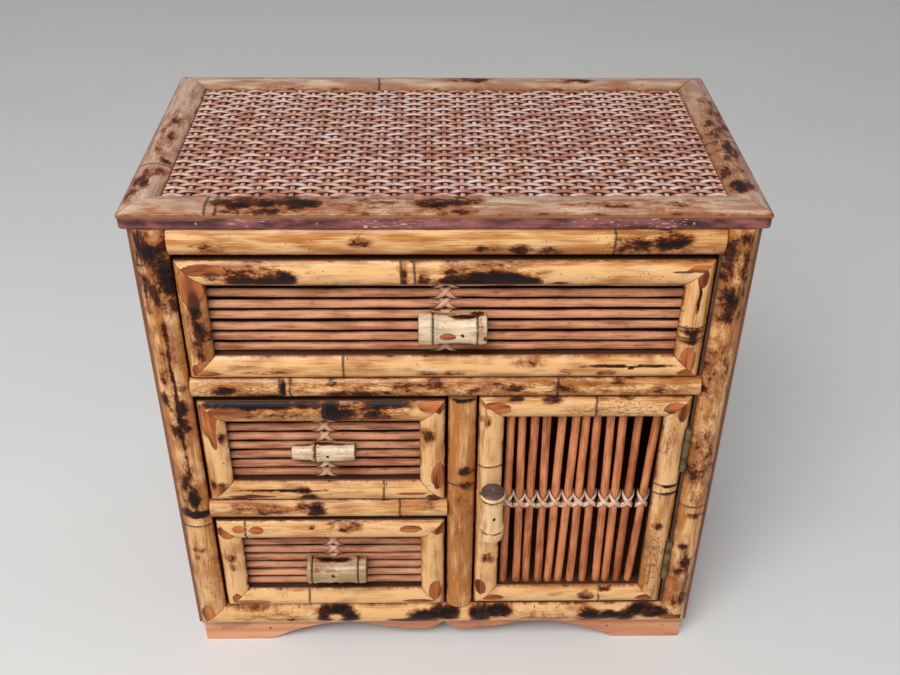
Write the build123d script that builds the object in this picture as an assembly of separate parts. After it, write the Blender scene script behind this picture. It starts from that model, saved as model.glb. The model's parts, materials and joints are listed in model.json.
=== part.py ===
from build123d import *
import math
import os

# A tabletop chest of split bamboo and rattan: one wide drawer over two small
# drawers and a door, under a woven top. Millimetres, +Z up, the front faces -Y,
# and the origin is on the floor at the middle of the chest's box.

# Body and top
BODY_WIDTH = 330.0
BODY_DEPTH = 176.0
BODY_HEIGHT = 323.7
SIDE_BOARD = 3.0
BACK_BOARD = 3.0
TOP_BOARD = 6.5
TOP_OVERHANG = 3.5
MOULDING_ROUND = 1.2
MOULDING_CORNER = 2.5
SHELF_BOARD = 6.0
PARTITION_BOARD = 8.0
REAR_POST = 14.0
GUIDE_HEIGHT = 10.0

# Face frame, from the floor up and then across
PLINTH_HEIGHT = 18.0
BOTTOM_RAIL = 18.0
LOWER_RAIL = 14.4
MIDDLE_RAIL = 13.2
TOP_RAIL = 16.5
POST_WIDTH = 17.0
CENTRE_STILE = 16.5
DOOR_OPENING = 126.5
FACE_DEPTH = 10.0

# Plinth and its scalloped front apron
PLINTH_BOARD = 8.0
FOOT_WIDTH = 44.0
ARCH_RUN = 54.0
ARCH_BAND = 1.5
PENDANT_OFFSET = 15.0
PENDANT_BAND = 8.3
CUSP_BAND = 1.2

# Split-bamboo strips
STRIP_EDGE = 1.2
STILE_OVERLAP = 1.0
FACE_CROWN = 4.8
FRAME_STRIP = 15.0
FRAME_CROWN = 4.6
TOP_SIDE_STRIP = 19.0
TOP_FRONT_STRIP = 20.5
TOP_CROWN = 5.0
TOP_EDGE = 2.2
NODE_RIDGE = 0.4
NODE_REACH = 1.6

# Woven panel in the top
WEAVE_THICKNESS = 3.0
WEAVE_CLEARANCE = 0.3

# Slatted fronts: wooden slats under the bamboo, rattan rods and cane lashing
SLAT_WIDTH = 14.0
ROD_DIAMETER = 5.2
ROD_SETBACK = 3.0
ROD_END_GAP = 0.45
DRAWER_ROD_SPACING = 7.15
DOOR_RODS = 12
CANE_WIDTH = 1.8
CANE_SPAN = 9.5
CANE_CLEARANCE = 0.1
CANE_LAP = 0.1

# Drawers
TOP_DRAWER_GAP = 1.3
SMALL_DRAWER_GAP = 1.8
DRAWER_HEAD_GAP = 3.6
DRAWER_FOOT_GAP = 0.6
RUNNING_GAP = 0.3
BOX_WALL = 5.0
BOX_BOTTOM = 3.0
BOX_HEADROOM = 19.0
BOX_BACK_GAP = 13.0

# Bamboo pulls: length and radius of each, and how far right of and above its drawer's middle
PULL_SEAT_SHARE = 0.7
PULL_CLEARANCE = 0.05
TOP_PULL_LENGTH = 37.5
TOP_PULL_RADIUS = 9.2
TOP_PULL_OFFSET = 3.9
TOP_PULL_LIFT = -2.3
UPPER_PULL_LENGTH = 37.6
UPPER_PULL_RADIUS = 6.3
UPPER_PULL_OFFSET = -0.4
UPPER_PULL_LIFT = 1.5
LOWER_PULL_LENGTH = 38.1
LOWER_PULL_RADIUS = 8.9
LOWER_PULL_OFFSET = 2.8
LOWER_PULL_LIFT = -1.8
PULL_WAIST = 0.8

# Upright knob on the door, off the middle of its bamboo strip
KNOB_LENGTH = 36.6
KNOB_RADIUS = 7.8
KNOB_SEAT_SHARE = 0.81
KNOB_WAIST = 1.4
KNOB_OFFSET = 1.8
KNOB_LIFT = 3.0
KNOB_CAP = 1.5
KNOB_CAP_RADIUS = 7.0

# Door, its hinges and its stop
DOOR_GAP = 1.4
DOOR_HEAD_GAP = 0.8
DOOR_FOOT_GAP = 2.0
HINGE_HEIGHT = 33.0
HINGE_INSET = 23.5
MIDDLE_KNUCKLE = 14.0
KNUCKLE_GAP = 0.2
HINGE_LEAF = 0.6
LEAF_GAP = 0.2
LEAF_REACH = 8.5
BARREL_RADIUS = 2.0
BARREL_CLEARANCE = 0.3
PIN_RADIUS = 0.7
PIN_CLEARANCE = 0.05
PIN_TIP = 0.4
STOP_REACH = 7.0
STOP_DEPTH = 8.0
STOP_HEIGHT = 50.0

# Places of the nodes along each strip, as shares of its length
STILE_LEFT_NODES = (0.325, 0.93)
STILE_RIGHT_NODES = (0.645,)
RAIL_TOP_NODES = (0.80,)
RAIL_MIDDLE_NODES = (0.186, 0.72)
RAIL_LOWER_NODES = (0.80,)
RAIL_BOTTOM_NODES = (0.421,)
CENTRE_STILE_NODES = (0.62,)
TOP_NODES = ((0.38,), (0.55,), (0.858,), (0.29,))
TOP_DRAWER_NODES = ((0.431,), (0.593,), (0.70,), ())
UPPER_DRAWER_NODES = ((0.509,), (), (0.26,), ())
LOWER_DRAWER_NODES = ((0.128,), (), (0.62,), ())
DOOR_NODES = ((0.55,), (0.41,), (0.33,), (0.70,))
TOP_PULL_NODES = (0.21, 0.87)
UPPER_PULL_NODES = (0.37,)
LOWER_PULL_NODES = (0.07, 0.87)
KNOB_NODES = (0.2, 0.91)

# Levels, from the floor up: the three drawer openings share what the plinth and the rails leave
RAILS = BOTTOM_RAIL + LOWER_RAIL + MIDDLE_RAIL + TOP_RAIL
DRAWER_OPENING = (BODY_HEIGHT - PLINTH_HEIGHT - RAILS) / 3
BODY_BASE = PLINTH_HEIGHT
FLOOR = BODY_BASE + BOTTOM_RAIL
LOWER_RAIL_BASE = FLOOR + DRAWER_OPENING
UPPER_FLOOR = LOWER_RAIL_BASE + LOWER_RAIL
MIDDLE_RAIL_BASE = UPPER_FLOOR + DRAWER_OPENING
TOP_FLOOR = MIDDLE_RAIL_BASE + MIDDLE_RAIL
TOP_RAIL_BASE = TOP_FLOOR + DRAWER_OPENING
BODY_TOP = TOP_RAIL_BASE + TOP_RAIL
TOP_FACE = BODY_TOP + TOP_BOARD

# Lines across the front
BODY_HALF = BODY_WIDTH / 2
SIDE_INNER = BODY_HALF - SIDE_BOARD
OPENING_HALF = SIDE_INNER - POST_WIDTH
STILE_OUTER = SIDE_INNER + STILE_OVERLAP
DOOR_OPENING_LEFT = OPENING_HALF - DOOR_OPENING
CENTRE_LEFT = DOOR_OPENING_LEFT - CENTRE_STILE
PARTITION_RIGHT = CENTRE_LEFT + PARTITION_BOARD
DOOR_LEFT = DOOR_OPENING_LEFT + DOOR_GAP
DOOR_RIGHT = OPENING_HALF - 2 * HINGE_LEAF - LEAF_GAP
DOOR_BASE = FLOOR + DOOR_FOOT_GAP
DOOR_TOP = MIDDLE_RAIL_BASE - DOOR_HEAD_GAP
HINGE_X = (DOOR_RIGHT + OPENING_HALF) / 2
STILE_RIGHT_INNER = HINGE_X + BARREL_RADIUS + BARREL_CLEARANCE

# Depths behind the front plane, where the bamboo lies on the wood
BACK_INNER = BODY_DEPTH - BACK_BOARD
REAR_POST_FRONT = BACK_INNER - REAR_POST
BOX_BACK = BACK_INNER - BOX_BACK_GAP
ROD_RADIUS = ROD_DIAMETER / 2
ROD_DEPTH = ROD_SETBACK + ROD_RADIUS
HINGE_DEPTH = -BARREL_RADIUS - PIN_CLEARANCE


def even_pitch(opening, count):
    """Pitch of rods that leave the same gap between each other and at both ends."""
    return (opening - count * ROD_DIAMETER) / (count + 1) + ROD_DIAMETER


DRAWER_FRONT = DRAWER_OPENING - DRAWER_HEAD_GAP - DRAWER_FOOT_GAP
DRAWER_GRILLE = DRAWER_FRONT - 2 * SLAT_WIDTH
DOOR_GRILLE = DOOR_RIGHT - DOOR_LEFT - 2 * SLAT_WIDTH
DRAWER_ROD_ROW = DRAWER_GRILLE - ROD_DIAMETER - 2 * ROD_END_GAP
DRAWER_RODS = 1 + round(DRAWER_ROD_ROW / DRAWER_ROD_SPACING)
DRAWER_PITCH = DRAWER_ROD_ROW / (DRAWER_RODS - 1)
DOOR_PITCH = even_pitch(DOOR_GRILLE, DOOR_RODS)
DRAWER_SEAT = ROD_DEPTH - DRAWER_PITCH / 2 - CANE_LAP - PULL_CLEARANCE
KNOB_SEAT = -FRAME_CROWN - PULL_CLEARANCE

# The foremost pull and the back of the top set where the front plane lies
PULL_REACH = max(
    (1 + PULL_SEAT_SHARE) * TOP_PULL_RADIUS - DRAWER_SEAT,
    (1 + PULL_SEAT_SHARE) * UPPER_PULL_RADIUS - DRAWER_SEAT,
    (1 + PULL_SEAT_SHARE) * LOWER_PULL_RADIUS - DRAWER_SEAT,
    (1 + KNOB_SEAT_SHARE) * KNOB_RADIUS - KNOB_SEAT,
)
FRONT_Y = (PULL_REACH - BODY_DEPTH - TOP_OVERHANG) / 2
FRONTWARD = (0, -1, 0)
UPWARD = (0, 0, 1)
ACROSS = (1, 0, 0)


def save(name, *pieces):
    """Write one named node, which may hold several separate pieces."""
    solids = [solid for piece in pieces for solid in piece.solids()]
    shape = solids[0] if len(solids) == 1 else Compound(solids)
    shape.label = name
    export_step(shape, f"parts/{name}.step")


def block(x, depth, z):
    """A board between two limits across, two behind the front plane and two in height."""
    size = (x[1] - x[0], depth[1] - depth[0], z[1] - z[0])
    centre = ((x[0] + x[1]) / 2, FRONT_Y + (depth[0] + depth[1]) / 2, (z[0] + z[1]) / 2)
    return Pos(*centre) * Box(*size)


def at(x, depth, z):
    """A point given by its depth behind the front plane."""
    return Vector(x, FRONT_Y + depth, z)


# Split bamboo

def culm(length, radius, nodes, waist=0.0):
    """Round bamboo along X from the origin, drawn in at its middle, with a ridge at each node."""
    if waist:
        skin = Bezier((0, radius), (length / 2, radius - 2 * waist), (length, radius))
    else:
        skin = Line((0, radius), (length, radius))
    ends = Polyline((length, radius), (length, 0), (0, 0), (0, radius))
    body = revolve(make_face(skin + ends), Axis.X)
    for share in nodes:
        place = share * length
        skin_there = radius - 4 * waist * share * (1 - share)
        ridge = Polyline(
            (place - 2 * NODE_REACH, skin_there - NODE_RIDGE),
            (place, skin_there + NODE_RIDGE),
            (place + 2 * NODE_REACH, skin_there - NODE_RIDGE),
            close=True,
        )
        body += revolve(make_face(ridge), Axis.X)
    return body


def strip(start, end, normal, width, crown, setbacks=(0, 0), nodes=(), edge=STRIP_EDGE):
    """A strip split from a culm and laid flat. Its outer edge runs from start to end, its skin
    faces along normal, and each end is mitred by how far the inner edge is set back."""
    length = (end - start).length
    rise = crown - edge
    radius = (width ** 2 / 4 + rise ** 2) / (2 * rise)
    outline = Polygon(
        (0, 0), (setbacks[0], -width), (length - setbacks[1], -width), (length, 0), align=None
    )
    blank = extrude(outline, crown + NODE_RIDGE)
    round_wood = Pos(0, -width / 2, crown - radius) * culm(length, radius, nodes)
    return Plane(start, x_dir=end - start, z_dir=normal).location * (round_wood & blank)


def mitred_frame(corners, widths, normal, crown, nodes, edge=STRIP_EDGE):
    """Four strips round a rectangle whose corners run clockwise as the skin side is seen."""
    strips = []
    for side in range(4):
        following = (side + 1) % 4
        setbacks = (widths[side - 1], widths[following])
        ends = (corners[side], corners[following])
        strips.append(strip(*ends, normal, widths[side], crown, setbacks, nodes[side], edge))
    return strips


def pull(centre, along, length, radius, nodes, waist, back=PULL_SEAT_SHARE):
    """A short bamboo pull, cut flat behind so that it seats at centre on what carries it."""
    height = back * radius
    round_wood = Pos(-length / 2, 0, height) * culm(length, radius, nodes, waist)
    room = radius + 2 * NODE_RIDGE
    blank = Pos(0, 0, height) * Box(length, 2 * room, 2 * room)
    behind = Pos(0, 0, -room) * Box(length, 2 * room, 2 * room)
    return Plane(centre, x_dir=along, z_dir=FRONTWARD).location * ((round_wood & blank) - behind)


# Slatted fronts

def slat_frame(x, z):
    """Four wooden slats: two uprights of full height with two rails between them."""
    depth = (0, FACE_DEPTH)
    inner = (x[0] + SLAT_WIDTH, x[1] - SLAT_WIDTH)
    return [
        block((x[0], inner[0]), depth, z),
        block((inner[1], x[1]), depth, z),
        block(inner, depth, (z[0], z[0] + SLAT_WIDTH)),
        block(inner, depth, (z[1] - SLAT_WIDTH, z[1])),
    ]


def front_corners(x, z):
    """Corners of a front, clockwise from the top left."""
    return [at(x[0], 0, z[1]), at(x[1], 0, z[1]), at(x[1], 0, z[0]), at(x[0], 0, z[0])]


def rods(centre, along, length, count, pitch):
    """Round rattan rods side by side, butted between two slats."""
    plane = Plane(centre, x_dir=along, z_dir=FRONTWARD)
    rod = Rot(0, 90, 0) * Cylinder(ROD_RADIUS, length)
    row = [Pos(0, (index - (count - 1) / 2) * pitch, 0) * rod for index in range(count)]
    return [plane.location * piece for piece in row]


def lashing(centre, along, count, pitch, room):
    """One band of split cane that crosses itself over each rod and again behind it, inside a room."""
    sleeve_radius = pitch / 2 + CANE_LAP
    slope = math.degrees(math.atan2(pitch, CANE_SPAN))
    arm = Box(math.hypot(CANE_SPAN, pitch) + CANE_WIDTH, CANE_WIDTH, 2 * sleeve_radius)
    cross = Rot(0, 0, slope) * arm + Rot(0, 0, -slope) * arm
    window = Box(CANE_SPAN + 2 * CANE_WIDTH, pitch, 2 * sleeve_radius)
    length = CANE_SPAN + 4 * CANE_WIDTH
    sleeve = Cylinder(sleeve_radius, length) - Cylinder(ROD_RADIUS + CANE_CLEARANCE, length)
    saddle = cross & window & (Rot(0, 90, 0) * sleeve)
    chain = [Pos(0, (index - (count - 1) / 2) * pitch, 0) * saddle for index in range(count)]
    band = chain[0].fuse(*chain[1:]) & Box(length, room - 2 * CANE_CLEARANCE, 2 * sleeve_radius)
    return Plane(centre, x_dir=along, z_dir=FRONTWARD).location * band


# Carcass

def carcass():
    """Boards, posts and frame that hold everything else."""
    wall_height = (BODY_BASE, BODY_TOP)
    face = (0, FACE_DEPTH)
    save("side_board_left", block((-BODY_HALF, -SIDE_INNER), (0, BODY_DEPTH), wall_height))
    save("side_board_right", block((SIDE_INNER, BODY_HALF), (0, BODY_DEPTH), wall_height))
    save("back_board", block((-SIDE_INNER, SIDE_INNER), (BACK_INNER, BODY_DEPTH), wall_height))
    opening = (-OPENING_HALF, OPENING_HALF)
    save(
        "face_frame",
        block((-SIDE_INNER, -OPENING_HALF), face, wall_height),
        block((OPENING_HALF, SIDE_INNER), face, wall_height),
        block(opening, face, (TOP_RAIL_BASE, BODY_TOP)),
        block(opening, face, (MIDDLE_RAIL_BASE, TOP_FLOOR)),
        block(opening, face, (BODY_BASE, FLOOR)),
        block((-OPENING_HALF, CENTRE_LEFT), face, (LOWER_RAIL_BASE, UPPER_FLOOR)),
        block((CENTRE_LEFT, DOOR_OPENING_LEFT), face, (FLOOR, MIDDLE_RAIL_BASE)),
    )
    post_depth = (REAR_POST_FRONT, BACK_INNER)
    post_left = block((-SIDE_INNER, -SIDE_INNER + REAR_POST), post_depth, (FLOOR, BODY_TOP))
    post_right = block((SIDE_INNER - REAR_POST, SIDE_INNER), post_depth, (FLOOR, BODY_TOP))
    save("rear_posts", post_left, post_right)
    shelf_depth = (FACE_DEPTH, BACK_INNER)
    whole = (-SIDE_INNER, SIDE_INNER)
    save("bottom_board", block(whole, shelf_depth, (FLOOR - SHELF_BOARD, FLOOR)))
    middle = block(whole, shelf_depth, (TOP_FLOOR - SHELF_BOARD, TOP_FLOOR))
    save("middle_shelf", middle - post_left - post_right)
    small = block((-SIDE_INNER, CENTRE_LEFT), shelf_depth, (UPPER_FLOOR - SHELF_BOARD, UPPER_FLOOR))
    save("small_shelf", small - post_left)
    partition_height = (FLOOR, TOP_FLOOR - SHELF_BOARD)
    save("partition", block((CENTRE_LEFT, PARTITION_RIGHT), shelf_depth, partition_height))
    guide_depth = (FACE_DEPTH, REAR_POST_FRONT)
    left_guide = (-SIDE_INNER, -OPENING_HALF)
    guides = [block(left_guide, guide_depth, (z, z + GUIDE_HEIGHT)) for z in (FLOOR, UPPER_FLOOR, TOP_FLOOR)]
    guides.append(block((OPENING_HALF, SIDE_INNER), guide_depth, (TOP_FLOOR, TOP_FLOOR + GUIDE_HEIGHT)))
    save("drawer_guides", *guides)
    stop_depth = (FACE_DEPTH + RUNNING_GAP, FACE_DEPTH + RUNNING_GAP + STOP_DEPTH)
    stop_middle = (DOOR_BASE + DOOR_TOP) / 2
    stop_height = (stop_middle - STOP_HEIGHT / 2, stop_middle + STOP_HEIGHT / 2)
    save("door_stop", block((PARTITION_RIGHT, DOOR_LEFT + STOP_REACH), stop_depth, stop_height))


def plinth():
    """Scalloped front apron with plain boards behind it that carry the bottom board."""
    foot = SIDE_INNER - FOOT_WIDTH
    arch_crown = (foot - ARCH_RUN, PLINTH_HEIGHT - ARCH_BAND)
    pendant = (PENDANT_OFFSET, PLINTH_HEIGHT - PENDANT_BAND)
    cusp = (0, PLINTH_HEIGHT - CUSP_BAND)
    rise = Spline((foot, 0), arch_crown, pendant, tangents=[(-1, 0.6), (-1, 0), (-1, 0)])
    tip = Spline(pendant, cusp, tangents=[(-1, 0), (-1, 1)])
    half = [rise, tip]
    whole = half + [mirror(curve, Plane.YZ) for curve in half]
    ends = Polyline(
        (foot, 0), (SIDE_INNER, 0), (SIDE_INNER, PLINTH_HEIGHT),
        (-SIDE_INNER, PLINTH_HEIGHT), (-SIDE_INNER, 0), (-foot, 0),
    )
    outline = make_face(Curve() + whole + ends)
    front = Plane((0, FRONT_Y, 0), x_dir=ACROSS, z_dir=FRONTWARD)
    save("front_apron", extrude(front.location * outline, -FACE_DEPTH))
    height = (0, FLOOR - SHELF_BOARD)
    inner = SIDE_INNER - PLINTH_BOARD
    depth = (FACE_DEPTH, BACK_INNER)
    save(
        "plinth_boards",
        block((-SIDE_INNER, -inner), depth, height),
        block((inner, SIDE_INNER), depth, height),
        block((-inner, inner), (BACK_INNER - PLINTH_BOARD, BACK_INNER), height),
    )


def top():
    """Top board with its painted edge moulding, bamboo border and woven panel."""
    save("top_board", block((-BODY_HALF, BODY_HALF), (0, BODY_DEPTH), (BODY_TOP, TOP_FACE)))
    half = BODY_HALF + TOP_OVERHANG
    depth = BODY_DEPTH + 2 * TOP_OVERHANG
    middle = at(0, BODY_DEPTH / 2, BODY_TOP)
    plan = RectangleRounded(2 * half, depth, MOULDING_CORNER)
    edge = extrude(plan, TOP_BOARD)
    rims = edge.edges().group_by(Axis.Z)
    edge = fillet(rims[0] + rims[-1], MOULDING_ROUND)
    edge = edge - extrude(Rectangle(BODY_WIDTH, BODY_DEPTH), TOP_BOARD)
    front = Polygon(
        (-half, -depth / 2), (half, -depth / 2),
        (BODY_HALF, -BODY_DEPTH / 2), (-BODY_HALF, -BODY_DEPTH / 2), align=None,
    )
    side = Polygon(
        (half, -depth / 2), (half, depth / 2),
        (BODY_HALF, BODY_DEPTH / 2), (BODY_HALF, -BODY_DEPTH / 2), align=None,
    )
    cutters = [front, side, mirror(front, Plane.XZ), mirror(side, Plane.YZ)]
    strips = [edge & extrude(cutter, TOP_BOARD, dir=UPWARD) for cutter in cutters]
    save("top_moulding", *[Pos(*middle) * piece for piece in strips])

    front_edge = -TOP_OVERHANG
    back_edge = BODY_DEPTH + TOP_OVERHANG
    corners = [
        at(-half, back_edge, TOP_FACE), at(half, back_edge, TOP_FACE),
        at(half, front_edge, TOP_FACE), at(-half, front_edge, TOP_FACE),
    ]
    widths = (TOP_SIDE_STRIP, TOP_SIDE_STRIP, TOP_FRONT_STRIP, TOP_SIDE_STRIP)
    border = mitred_frame(corners, widths, UPWARD, TOP_CROWN, TOP_NODES, TOP_EDGE)
    for place, piece in zip(("back", "right", "front", "left"), border):
        save(f"top_bamboo_{place}", piece)
    inner = half - TOP_SIDE_STRIP - WEAVE_CLEARANCE
    weave_depth = (
        front_edge + TOP_FRONT_STRIP + WEAVE_CLEARANCE, back_edge - TOP_SIDE_STRIP - WEAVE_CLEARANCE,
    )
    save("woven_panel", block((-inner, inner), weave_depth, (TOP_FACE, TOP_FACE + WEAVE_THICKNESS)))


def face_bamboo():
    """Bamboo strips nailed over the face frame; stiles and bottom rail are mitred together."""
    right_width = STILE_OUTER - STILE_RIGHT_INNER
    left_width = STILE_OUTER - OPENING_HALF
    foot_left = at(-STILE_OUTER, 0, BODY_BASE)
    foot_right = at(STILE_OUTER, 0, BODY_BASE)

    def facing(start, end, width, setbacks=(0, 0), nodes=()):
        return strip(start, end, FRONTWARD, width, FACE_CROWN, setbacks, nodes)

    def rail(left, right, base, height, nodes):
        return facing(at(left, 0, base + height), at(right, 0, base + height), height, nodes=nodes)

    head_left = at(-STILE_OUTER, 0, BODY_TOP)
    head_right = at(STILE_OUTER, 0, BODY_TOP)
    save("stile_left", facing(foot_left, head_left, left_width, (BOTTOM_RAIL, 0), STILE_LEFT_NODES))
    save("stile_right", facing(head_right, foot_right, right_width, (0, BOTTOM_RAIL), STILE_RIGHT_NODES))
    mitres = (right_width, left_width)
    save("rail_bottom", facing(foot_right, foot_left, BOTTOM_RAIL, mitres, RAIL_BOTTOM_NODES))
    between = (-OPENING_HALF, STILE_RIGHT_INNER)
    save("rail_top", rail(*between, TOP_RAIL_BASE, TOP_RAIL, RAIL_TOP_NODES))
    save("rail_middle", rail(*between, MIDDLE_RAIL_BASE, MIDDLE_RAIL, RAIL_MIDDLE_NODES))
    save("rail_lower", rail(-OPENING_HALF, CENTRE_LEFT, LOWER_RAIL_BASE, LOWER_RAIL, RAIL_LOWER_NODES))
    foot = at(CENTRE_LEFT, 0, FLOOR)
    head = at(CENTRE_LEFT, 0, MIDDLE_RAIL_BASE)
    save("centre_stile", facing(foot, head, CENTRE_STILE, nodes=CENTRE_STILE_NODES))


# Moving pieces

def drawer(name, x, floor, nodes, pull_size, pull_nodes):
    """A drawer: slatted bamboo front with rods, lashing and pull, on a plain wooden box."""
    base = floor + DRAWER_FOOT_GAP
    z = (base, base + DRAWER_FRONT)
    centre_x = (x[0] + x[1]) / 2
    centre_z = (z[0] + z[1]) / 2
    save(f"{name}_slats", *slat_frame(x, z))
    corners = front_corners(x, z)
    save(f"{name}_bamboo", *mitred_frame(corners, [FRAME_STRIP] * 4, FRONTWARD, FRAME_CROWN, nodes))
    middle = at(centre_x, ROD_DEPTH, centre_z)
    rod_length = x[1] - x[0] - 2 * SLAT_WIDTH
    save(f"{name}_rods", *rods(middle, ACROSS, rod_length, DRAWER_RODS, DRAWER_PITCH))
    save(f"{name}_lashing", lashing(middle, ACROSS, DRAWER_RODS, DRAWER_PITCH, DRAWER_GRILLE))
    length, radius, offset, lift = pull_size
    seat = at(centre_x + offset, DRAWER_SEAT, centre_z + lift)
    save(f"{name}_pull", pull(seat, ACROSS, length, radius, pull_nodes, PULL_WAIST))
    box_base = floor + RUNNING_GAP
    wall = (box_base + BOX_BOTTOM, floor + DRAWER_OPENING - BOX_HEADROOM)
    inner = (x[0] + BOX_WALL, x[1] - BOX_WALL)
    save(
        f"{name}_box",
        block((x[0], inner[0]), (FACE_DEPTH, BOX_BACK), wall),
        block((inner[1], x[1]), (FACE_DEPTH, BOX_BACK), wall),
        block(inner, (FACE_DEPTH, FACE_DEPTH + BOX_WALL), wall),
        block(inner, (BOX_BACK - BOX_WALL, BOX_BACK), wall),
    )
    save(f"{name}_bottom", block(x, (FACE_DEPTH, BOX_BACK), (box_base, box_base + BOX_BOTTOM)))


def hinge_bases():
    """Lowest point of each hinge, the lower one first."""
    return (DOOR_BASE + HINGE_INSET, DOOR_TOP - HINGE_INSET - HINGE_HEIGHT)


def door():
    """An open door: slats, bamboo border, upright rods, lashing and a bamboo knob."""
    x = (DOOR_LEFT, DOOR_RIGHT)
    z = (DOOR_BASE, DOOR_TOP)
    centre_z = (z[0] + z[1]) / 2
    save("door_slats", *slat_frame(x, z))
    border = mitred_frame(front_corners(x, z), [FRAME_STRIP] * 4, FRONTWARD, FRAME_CROWN, DOOR_NODES)
    notch_left = HINGE_X - BARREL_RADIUS - BARREL_CLEARANCE
    for base in hinge_bases():
        height = (base - BARREL_CLEARANCE, base + HINGE_HEIGHT + BARREL_CLEARANCE)
        border[1] -= block((notch_left, OPENING_HALF), (-2 * FRAME_CROWN, 0), height)
    for place, piece in zip(("top", "right", "bottom", "left"), border):
        save(f"door_bamboo_{place}", piece)
    middle = at((x[0] + x[1]) / 2, ROD_DEPTH, centre_z)
    rod_length = z[1] - z[0] - 2 * SLAT_WIDTH
    save("door_rods", *rods(middle, UPWARD, rod_length, DOOR_RODS, DOOR_PITCH))
    save("door_lashing", lashing(middle, UPWARD, DOOR_RODS, DOOR_PITCH, DOOR_GRILLE))
    knob_x = x[0] + FRAME_STRIP / 2 + KNOB_OFFSET
    knob_z = centre_z + KNOB_LIFT
    seat = at(knob_x, KNOB_SEAT, knob_z)
    knob = pull(seat, UPWARD, KNOB_LENGTH, KNOB_RADIUS, KNOB_NODES, KNOB_WAIST, KNOB_SEAT_SHARE)
    save("door_knob", knob)
    cap_base = at(knob_x, KNOB_SEAT - KNOB_SEAT_SHARE * KNOB_RADIUS, knob_z + KNOB_LENGTH / 2)
    cap = Pos(*cap_base) * extrude(Circle(KNOB_CAP_RADIUS), KNOB_CAP)
    cap = fillet(cap.edges().group_by(Axis.Z)[-1], KNOB_CAP / 3)
    clear = block((knob_x - FRAME_STRIP, knob_x + FRAME_STRIP), (KNOB_SEAT, FACE_DEPTH), z)
    save("door_knob_cap", cap - clear)


def hinge_leaf(x, base, knuckles):
    """A flat hinge leaf whose knuckles, given by their ends, go round the pin."""
    depth = (PIN_CLEARANCE * 2, LEAF_REACH)
    leaf = block(x, depth, (base, base + HINGE_HEIGHT))
    for low, high in knuckles:
        ring = Pos(*at(HINGE_X, HINGE_DEPTH, low)) * extrude(Circle(BARREL_RADIUS), high - low)
        leaf += ring + block(x, (HINGE_DEPTH + PIN_RADIUS, depth[0]), (low, high))
    bore = extrude(Circle(PIN_RADIUS + PIN_CLEARANCE), HINGE_HEIGHT)
    return leaf - Pos(*at(HINGE_X, HINGE_DEPTH, base)) * bore


def hinges():
    """Two butt hinges of three knuckles: the case holds the middle one, the door the others."""
    case_leaves = []
    door_leaves = []
    pins = []
    for base in hinge_bases():
        end = base + HINGE_HEIGHT
        outer = (HINGE_HEIGHT - MIDDLE_KNUCKLE) / 2 - KNUCKLE_GAP
        middle = (base + outer + KNUCKLE_GAP, end - outer - KNUCKLE_GAP)
        case_leaves.append(hinge_leaf((OPENING_HALF - HINGE_LEAF, OPENING_HALF), base, [middle]))
        outers = [(base, base + outer), (end - outer, end)]
        door_leaves.append(hinge_leaf((DOOR_RIGHT, DOOR_RIGHT + HINGE_LEAF), base, outers))
        pin = extrude(Circle(PIN_RADIUS), HINGE_HEIGHT + 2 * PIN_TIP)
        pins.append(Pos(*at(HINGE_X, HINGE_DEPTH, base - PIN_TIP)) * pin)
    save("hinge_case_leaves", *case_leaves)
    save("hinge_door_leaves", *door_leaves)
    save("hinge_pins", *pins)


os.makedirs("parts", exist_ok=True)
carcass()
plinth()
top()
face_bamboo()
top_front = (-OPENING_HALF + TOP_DRAWER_GAP, OPENING_HALF - TOP_DRAWER_GAP)
small_front = (-OPENING_HALF + SMALL_DRAWER_GAP, CENTRE_LEFT - SMALL_DRAWER_GAP)
top_pull = (TOP_PULL_LENGTH, TOP_PULL_RADIUS, TOP_PULL_OFFSET, TOP_PULL_LIFT)
upper_pull = (UPPER_PULL_LENGTH, UPPER_PULL_RADIUS, UPPER_PULL_OFFSET, UPPER_PULL_LIFT)
lower_pull = (LOWER_PULL_LENGTH, LOWER_PULL_RADIUS, LOWER_PULL_OFFSET, LOWER_PULL_LIFT)
drawer("top_drawer", top_front, TOP_FLOOR, TOP_DRAWER_NODES, top_pull, TOP_PULL_NODES)
drawer("upper_drawer", small_front, UPPER_FLOOR, UPPER_DRAWER_NODES, upper_pull, UPPER_PULL_NODES)
drawer("lower_drawer", small_front, FLOOR, LOWER_DRAWER_NODES, lower_pull, LOWER_PULL_NODES)
door()
hinges()
print(f"front plane at y {FRONT_Y:.3f}, hinge axis at x {HINGE_X:.3f}, y {FRONT_Y + HINGE_DEPTH:.3f}")
print(f"top at z {TOP_FACE + TOP_CROWN:.3f}")
print(f"rod pitch: drawers {DRAWER_PITCH:.3f}, door {DOOR_PITCH:.3f}")
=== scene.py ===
# %% [markdown]
# # A small chest of scorched bamboo and rattan
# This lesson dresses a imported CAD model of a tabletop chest: three drawers and a door, faced with
# split bamboo that was scorched brown and black, with rattan rods, cane ties and a woven top.
# The CAD part is loaded first as a fixed frame, so each piece made here goes where its node is.

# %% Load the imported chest
import json
import math
import random
import bmesh
import bpy
from mathutils import Matrix, Vector, noise

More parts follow.
